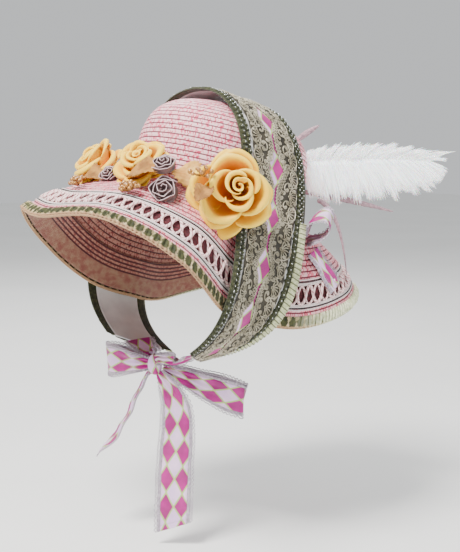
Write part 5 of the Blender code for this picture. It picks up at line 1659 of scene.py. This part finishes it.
def petal(layer, radius, depth, middle, random):
    """Points of a petal in the rose's own frame: a cup that laps its neighbour, its lip rolled out."""
    s = np.linspace(-1, 1, PETAL_ACROSS)[None]
    half = pi / layer.petals * random.uniform(1.22, 1.38)
    reach = radius * layer.reach * (1 + random.uniform(-0.08, 0.08))
    high = depth * layer.height * (1 + random.uniform(-0.07, 0.07))
    tip = random.uniform(-0.35, 0.35)
    point = 1 - np.abs((s - tip) / (1 + np.abs(tip)))
    plan = (0.77 + 0.27 * point) * (1 + random.uniform(0.09, 0.17) * s) * (1 - 0.12 * np.abs(s) ** 6)
    t = np.linspace(0, 1, PETAL_ROWS)[:, None]
    r = (1 - t) ** 2 * PETAL_ROOT + 2 * t * (1 - t) * layer.bulge + t * t
    z = 2 * t * (1 - t) * 0.18 + t * t
    z_edge = 1 - 0.16 * s ** 2 + 0.07 * np.sin(3 * s + random.uniform(0, 6))
    cup = np.stack([r * reach * plan, z * high * z_edge])
    angle = np.arctan2(*(cup[:, -1] - cup[:, -2])[::-1])
    curl = 0.45 + 0.55 * np.cos(2.3 * (s[0] - tip))
    size = layer.roll * (radius / ROSES[0].radius) ** 0.5 * curl * random.uniform(0.85, 1.2)
    step = radians(layer.turn) / LIP_ROWS
    at, lip = cup[:, -1], []
    for k in range(LIP_ROWS):
        angle = angle - step
        at = at + np.stack([np.cos(angle), np.sin(angle)]) * size * step * (1 - 0.5 * k / LIP_ROWS)
        lip.append(at)
    r_grid, z_grid = np.concatenate([cup, np.stack(lip, 1)], 1)
    a = middle + s * half
    lift = 0.02 * radius * np.sin(2.2 * s + middle) * np.linspace(0, 1, len(r_grid))[:, None]
    grid = np.stack([r_grid * np.cos(a), r_grid * np.sin(a), z_grid + lift], -1)
    share = np.concatenate([np.linspace(0, 0.82, PETAL_ROWS), np.linspace(0.85, 1, LIP_ROWS)])
    return grid, share[:, None]


def heart_spiral(radius, depth):
    """The rolled heart: a strip wound on itself, its upper edge turned out."""
    around, rows = 90, 14
    s = np.linspace(0, 1, around)[None]
    t = np.linspace(0, 1, rows)[:, None]
    a = s * HEART_TURNS * 2 * pi
    flare = 0.0024 * smooth_step((t - 0.72) / 0.28) ** 1.3 * (0.4 + s)
    r = mix(0.0008, radius * HEART_REACH, s) + flare
    z = depth * (0.5 + 0.58 * t - 0.05 * s) - 0.002 * smooth_step((t - 0.86) / 0.14)
    squash = 1 + 0.12 * np.cos(2 * a)
    x, y, z = np.broadcast_arrays(r * squash * np.cos(a), r * np.sin(a), z)
    return np.stack([x, y, z], -1), t


def make_rose(bloom, seed):
    random = np.random.default_rng(seed)
    origin, side, up, way = bloom_frame(bloom)
    pieces = []

    def place(grid, centre):
        return origin + grid[..., 0:1] * side + grid[..., 1:2] * up + grid[..., 2:3] * way + centre

    right, above = facing_frame(way)
    for layer in ROSE_LAYERS:
        lean = (1 - layer.reach) * bloom.radius * 0.9
        centre = lean * (above * bloom.lean[1] - right * bloom.lean[0])
        for k in range(layer.petals):
            middle = layer.start + 2 * pi * k / layer.petals + random.uniform(-0.3, 0.3)
            grid, share = petal(layer, bloom.radius, bloom.depth, middle, random)
            us = np.linspace(0, 1, PETAL_ACROSS)[None]
            pieces.append(sheet_wall("petal", place(grid, centre), PETAL_CLOTH, PETAL, us, share))
    grid, share = heart_spiral(bloom.radius, bloom.depth)
    us = np.linspace(0, 1, grid.shape[1])[None]
    pieces.append(sheet_wall("heart", place(grid, centre), PETAL_CLOTH, PETAL, us, 0.25 + 0.75 * share))
    kept(joined(bloom.name + "_petals", pieces), "yellow_rose", bloom.name)


ROSETTE_TURNS = 3.4


def make_ribbon_rose(bloom, seed):
    """A rosette of one ribbon wound on edge in flat folds, with a pale woven edge."""
    origin, side, up, way = bloom_frame(bloom)
    s = np.linspace(0, 1, 240)[None]
    t = np.linspace(0, 1, 7)[:, None]
    a = s * ROSETTE_TURNS * 2 * pi + seed
    fold = 1 / np.cos(((a * 0.93) % (2 * pi / 5)) - pi / 5) * cos(pi / 5) * 1.12
    r = bloom.radius * (mix(0.08, 0.86, s ** 0.8) * fold + 0.16 * t ** 2 * s)
    z = bloom.depth * (mix(0.45, 0.0, s) + mix(0.55, 0.62, s) * t) + 0.0006 * np.sin(5 * a)
    grid = (origin + (r * np.cos(a))[..., None] * side + (r * np.sin(a))[..., None] * up
            + z[..., None] * way)
    strip = sheet_wall(bloom.name + "_fold", grid, FOLD_THICKNESS, MAUVE_SATIN, a * bloom.radius * 0.5,
                       t * 0.01)
    kept(strip, "mauve_ribbon", bloom.name)
    kept(cords(bloom.name + "_edge", [grid[-1]], [0.0004], MAUVE_EDGE, sides=5), "mauve_ribbon")
    turn = np.linspace(0, 2 * pi, 33)[None]
    span = np.linspace(0.02, 0.9, 5)[:, None]
    base = (origin + (bloom.radius * span * np.cos(turn))[..., None] * side
            + (bloom.radius * span * np.sin(turn))[..., None] * up
            + (bloom.depth * 0.25 * (1 - span * 0.9) * np.ones_like(turn))[..., None] * way)
    ground = sheet_wall(bloom.name + "_ground", base, 0.0006, MAUVE_SATIN, turn * 0.01, span * 0.01)
    kept(ground, "mauve_ribbon")


LEAF_TEETH, LEAF_VEINS = 9, 7


def make_leaf(bloom, material):
    """A fabric leaf cupped along its midrib, with a toothed, slightly curled edge."""
    origin, _, _, way = bloom_frame(bloom)
    ahead, across = facing_frame(way, bloom.turn)
    s = np.linspace(0, 1, 61)[:, None]
    j = np.linspace(-1, 1, 21)[None]
    teeth = 1 + 0.22 * np.abs(((s * LEAF_TEETH) % 1.0) - 0.5) * np.abs(j) ** 8 * 2
    half = bloom.depth / 2 * np.maximum(np.sin(pi * (0.08 + 0.88 * s)) ** 0.8, 0.05) * teeth
    vein = 0.00035 * np.cos(2 * pi * (s * LEAF_VEINS - np.abs(j) * 1.1)) * np.abs(j) ** 0.5
    rib = 0.0006 * np.exp(-(j * 14) ** 2)
    curl = 0.0022 * np.sin(7 * s + 2 * j) * np.abs(j) ** 2
    high = 0.16 * bloom.radius * np.sin(pi * s) + 0.3 * half * np.abs(j) + vein + rib + curl + 0.0006
    length = bloom.radius * (s - 0.5) * np.ones_like(j)
    grid = origin + length[..., None] * ahead + (half * j)[..., None] * across + high[..., None] * way
    leaf = sheet_wall(bloom.name + "_cloth", grid, LEAF_THICKNESS, material, s * bloom.radius,
                      j * bloom.depth / 2)
    kept(leaf, "tan_leaf", bloom.name)


GOLDEN_TURN = pi * (3 - 5 ** 0.5)


def make_berries(bloom, berry, seed):
    """Beads on short wires, crowded over a small heart."""
    origin, side, up, way = bloom_frame(bloom, foot=-0.4 * BERRY_HEART)
    random = np.random.default_rng(seed)
    count = bloom.berries
    balls, wires = [], []
    for k in range(count):
        out = BERRY_SPREAD * ((k + 0.5) / count) ** 0.5
        a = k * GOLDEN_TURN
        high = max(BERRY_HEART ** 2 - (out * 0.8) ** 2, 0.0) ** 0.5 + random.uniform(0, 0.0022)
        flat = side * (out * cos(a) * BERRY_STRETCH) + up * (out * sin(a))
        ball = origin + flat + way * high
        balls.append(ball)
        elbow = origin + flat * 0.7 + way * high * 0.5
        wires.append(curve_through([origin + flat * 0.2, elbow, ball], 6))
    beads = repeat(bloom.name + "_beads", berry, balls, BERRY_SKIN, Size_variation=0.16,
                   Turn_variation=1.5, Seed=4)
    kept(beads, "berry_gold", bloom.name)
    kept(cords(bloom.name + "_stalks", wires, [0.0005] * count, LEAF_CLOTH, sides=5), "berry_gold")


def make_flowers():
    for seed, bloom in enumerate(ROSES):
        make_rose(bloom, 21 + seed)
    for seed, bloom in enumerate(RIBBON_ROSES):
        make_ribbon_rose(bloom, 0.8 * seed)
    for k, bloom in enumerate(LEAVES):
        make_leaf(bloom, LEAF_PALE if k == 0 else LEAF_CLOTH)
    berry = make_bead("berry_motif", BERRY, 1.0, subdivisions=2)
    for seed, bloom in enumerate(BERRY_CLUSTERS):
        make_berries(bloom, berry, 31 + seed)
    discard(berry)


# Feathers

PLUME, PLUME_UPPER, PLUME_LOWER, PLUME_THICKNESS = 0.146, 0.026, 0.028, 0.016
PLUME_ROWS, PLUME_LOCK, BIOT_THICKNESS = 18, 0.16, 0.0012
QUILL_OUT = 0.003            # of a quill's root off the crown
Feather = namedtuple("Feather", "name angle height bearing rise length width bend")
PLUME_PLACE = Feather("plume", 142, 0.50, 143, 12, 1.0, 1.0, -0.08)
BIOTS = (
    Feather("biot_1", 134, 0.84, 140, 40, 0.028, 0.004, -0.1),
    Feather("biot_2", 146, 0.36, 143, -9, 0.100, 0.004, -0.06),
    Feather("biot_3", 134, 0.24, 143, -16, 0.055, 0.004, -1.30),
)


def plume_taper(s):
    """Width of a feather at shares of its length."""
    return np.maximum(np.sin(pi * np.minimum(0.22 + 0.75 * s, 1.0)) ** 0.55, 0.06)


class Quill:
    """A feather's curved line and directions, with its root where its solid's root is."""

    def __init__(self, feather, length, upper, lower, thickness, rows, lock):
        angle = radians(feather.angle)
        rise = feather.height ** (CROWN_TOP_POWER / 2)
        share = (1 - rise ** 2) ** (1 / CROWN_SIDE_POWER)
        wide, long = CROWN_HALF_WIDTH + QUILL_OUT, CROWN_HALF_LENGTH + QUILL_OUT
        radius = share / hypot(sin(angle) / wide, cos(angle) / long)
        upright = (radius * sin(angle), -radius * cos(angle), (CROWN_HEIGHT + QUILL_OUT) * feather.height)
        self.root = to_frame(np.array(upright))
        self.ahead = heading(feather.bearing, feather.rise)
        self.up = unit(UP - self.ahead * self.ahead[2])
        self.face = unit(np.cross(self.ahead, self.up))
        self.bend, self.length = feather.bend, length
        coarse = []
        for k in range(rows + 1):
            s = k / rows
            centre = self.at(s * length)
            wide = plume_taper(s) * (1 - lock * (k % 2))
            thick = thickness / 2 * max(1 - s, 0.15)
            coarse += [centre + self.up * upper * wide - self.ahead * (lock * upper * 0.6 * (k % 2)),
                       centre - self.up * lower * wide, centre + self.face * thick,
                       centre - self.face * thick]
        self.root = self.root + box_middle(node_points(feather.name)) - box_middle(coarse)

    def at(self, x, y=0.0, z=0.0):
        """A place x along the quill, y above it and z out of the vane's face."""
        x, y, z = (np.asarray(n, float)[..., None] for n in (x, y, z))
        return (self.root + self.ahead * x + self.up * (self.bend * x * x / self.length) + self.up * y
                + self.face * z)


QUILL_RISE = 0.018           # of the quill's root above the solid's middle line
PLUME_LOCKS = 0.0065         # width of a lock, whose barbs' tips lie together
BARB_STEPS, BARB_SIDES = 7, 3
BARB_WIDTH = 0.048           # of its length


def make_barb(name, width, sweep):
    """One barb of unit length: a fine strand that tapers and sweeps forward in the feather's plane."""
    s = np.linspace(0, 1, BARB_STEPS)
    path = np.stack([s, sweep * s * s, np.zeros_like(s)], -1)
    radii = width / 2 * np.maximum(np.sin(pi * (0.12 + 0.86 * s)) ** 0.6, 0.12)
    points, faces, _ = tubes([path], [radii], BARB_SIDES)
    return make_piece(name, points, faces)


Vane = namedtuple("Vane", "name side reach lean narrowing count sweep draw nodes")
VANES = (                    # lean: of the barbs off the quill at its root; draw: of the tips into locks
    Vane("plume_upper", 1, PLUME_UPPER - QUILL_RISE + 0.011, 1.10, 0.80, 900, -0.30, 0.25, ("plume",)),
    Vane("plume_lower", -1, PLUME_LOWER + QUILL_RISE + 0.004, 1.40, 0.62, 1350, 0.14, 0.75, ()),
)
WISP_FROM, WISP_EACH, WISP_LENGTH, WISP_LEAN = 0.72, 23, 0.030, 0.55


def make_plume():
    """A fluffy white plume: barbs set thickly along a quill, the lower ones drooping apart in locks."""
    quill = Quill(PLUME_PLACE, PLUME, PLUME_UPPER, PLUME_LOWER, PLUME_THICKNESS, PLUME_ROWS, PLUME_LOCK)
    random = np.random.default_rng(12)
    along = np.linspace(-0.012, PLUME * 0.97, 40)
    line = quill.at(along, QUILL_RISE * (1 - along / PLUME), np.zeros(40))
    shaft = cords("plume_quill", [line], [np.linspace(0.0013, 0.0003, 40)], WHITE_FEATHER, sides=8)
    kept(shaft, "white_plume")
    for vane in VANES:
        count, upper = vane.count, vane.side > 0
        barb = make_barb("barb_motif", BARB_WIDTH, vane.sweep * vane.side)
        s = np.sort(random.uniform(-0.06, 0.97, count))
        on = np.clip(s, 0, 1)
        angle = vane.lean * (1 - vane.narrowing * on ** 1.6) + random.normal(0, 0.05, count)
        angle = np.maximum(angle, 0.12)
        lock = np.floor(on * PLUME / PLUME_LOCKS)
        long = vane.reach * plume_taper(on * 0.9) / np.sin(np.maximum(angle, 0.7))
        long = long * random.uniform(0.72, 1.04, count)
        long = long * (0.90 + 0.12 * np.sin(lock * 2.4)) * (1 if upper else 1.06 - 0.42 * on) + 0.002
        long = np.minimum(long, (1.0 - on) * PLUME * 0.8 + 0.016)
        from_lock = on * PLUME - (lock + 0.5) * PLUME_LOCKS
        angle = angle + vane.draw * from_lock / (long * np.sin(angle) + 0.004)
        if upper:
            wisp = (s > WISP_FROM) & (np.arange(count) % WISP_EACH == 0)
            long, angle = np.where(wisp, WISP_LENGTH, long), np.where(wisp, WISP_LEAN, angle)
        thick = random.normal(0, 0.0022, count) * (1 - 0.7 * on)
        places = np.stack([s * PLUME * 0.93, QUILL_RISE * (1 - on), thick], -1)
        tilts = random.normal(0, 0.16, count), random.normal(0, 0.12, count)
        turns = np.stack([*tilts, angle * vane.side], -1)
        barbs = repeat(vane.name, barb, places, WHITE_FEATHER, turns, long, Seed=2)
        kept(bend_piece(barbs, quill.at), "white_plume", *vane.nodes)
        discard(barb)


def make_biots():
    """Narrow mauve feathers: a blade on a fine rib."""
    for feather in BIOTS:
        quill = Quill(feather, feather.length, feather.width, feather.width, BIOT_THICKNESS, 6, 0.0)
        s = np.linspace(0, 1, 41)[:, None]
        j = np.linspace(-1, 1, 9)[None]
        wide = feather.width * np.maximum(np.sin(pi * np.minimum(0.22 + 0.75 * s, 1)) ** 0.8, 0.05) * 0.8
        comb = 1 + 0.10 * np.sin(s * feather.length / 0.0011 * 2 * pi) * np.abs(j) ** 4
        x, y, z = np.broadcast_arrays(s * feather.length + 0.0012 * np.abs(j), wide * j * comb,
                                      0.0009 * (1 - j * j))
        blade = sheet_wall(feather.name + "_blade", quill.at(x, y, z), 0.0004, MAUVE_BARB, x, y)
        kept(blade, "mauve_feather", feather.name)
        line = quill.at(s[:, 0] * feather.length, 0 * s[:, 0], 0.0009 + 0 * s[:, 0])
        rib = cords(feather.name + "_rib", [line], [np.linspace(0.0006, 0.0002, 41)], MAUVE_BARB, sides=6)
        kept(rib, "mauve_feather")


# Camera, light and stage

EYE = Vector((0.9705, -0.7377, -0.0283))
VIEW_BEARING, VIEW_RISE = 53, 7
LENS, SENSOR = 72, 36        # millimetres, the sensor's long side
LIT = Vector((0, 0, -0.15))  # where the lamps point
FLOOR_HALF, FLOOR_BELOW = 6, 0.02


def make_camera():
    data = bpy.data.cameras.new("camera")
    data.lens, data.sensor_width = LENS, SENSOR
    data.clip_start, data.clip_end = 0.05, 20
    camera = put("camera", data)
    camera.location = EYE
    camera.rotation_euler = Vector(-heading(VIEW_BEARING, VIEW_RISE)).to_track_quat("-Z", "Y").to_euler()
    bpy.context.scene.camera = camera


def add_lamp(name, bearing, rise, distance, size, watts, colour):
    """A soft square light; bearing is from the front towards the wearer's left."""
    data = bpy.data.lights.new(name, "AREA")
    data.energy, data.size, data.color = watts, size, colour
    lamp = put(name, data)
    way = Vector(heading(bearing, rise))
    lamp.location = LIT + way * distance
    lamp.rotation_euler = (-way).to_track_quat("-Z", "Y").to_euler()


def make_stage():
    low, far = CAD_LOW.z - FLOOR_BELOW, FLOOR_HALF
    corners = [(-far, -far, low), (far, -far, low), (far, far, low), (-far, far, low)]
    make_piece("floor", corners, [(0, 1, 2, 3)], FLOOR)
    world = bpy.data.worlds.new("soft_sky")
    world.use_nodes = True
    sky = world.node_tree.nodes["Background"].inputs
    sky["Color"].default_value, sky["Strength"].default_value = (0.93, 0.95, 0.97, 1.0), 0.72
    bpy.context.scene.world = world
    add_lamp("key", 15, 52, 1.9, 0.6, 84, (1.0, 0.98, 0.95))
    add_lamp("fill", 110, 20, 2.2, 1.4, 20, (0.95, 0.98, 1.0))
    add_lamp("rim", -120, 40, 2.2, 0.9, 26, (1.0, 1.0, 1.0))


make_camera()
make_stage()
make_crown()
make_brim()
make_net_facing()
make_openwork()
make_ruffle()
make_band_cloth()
make_guipure()
make_trims()
make_bow()
make_flowers()
make_plume()
make_biots()

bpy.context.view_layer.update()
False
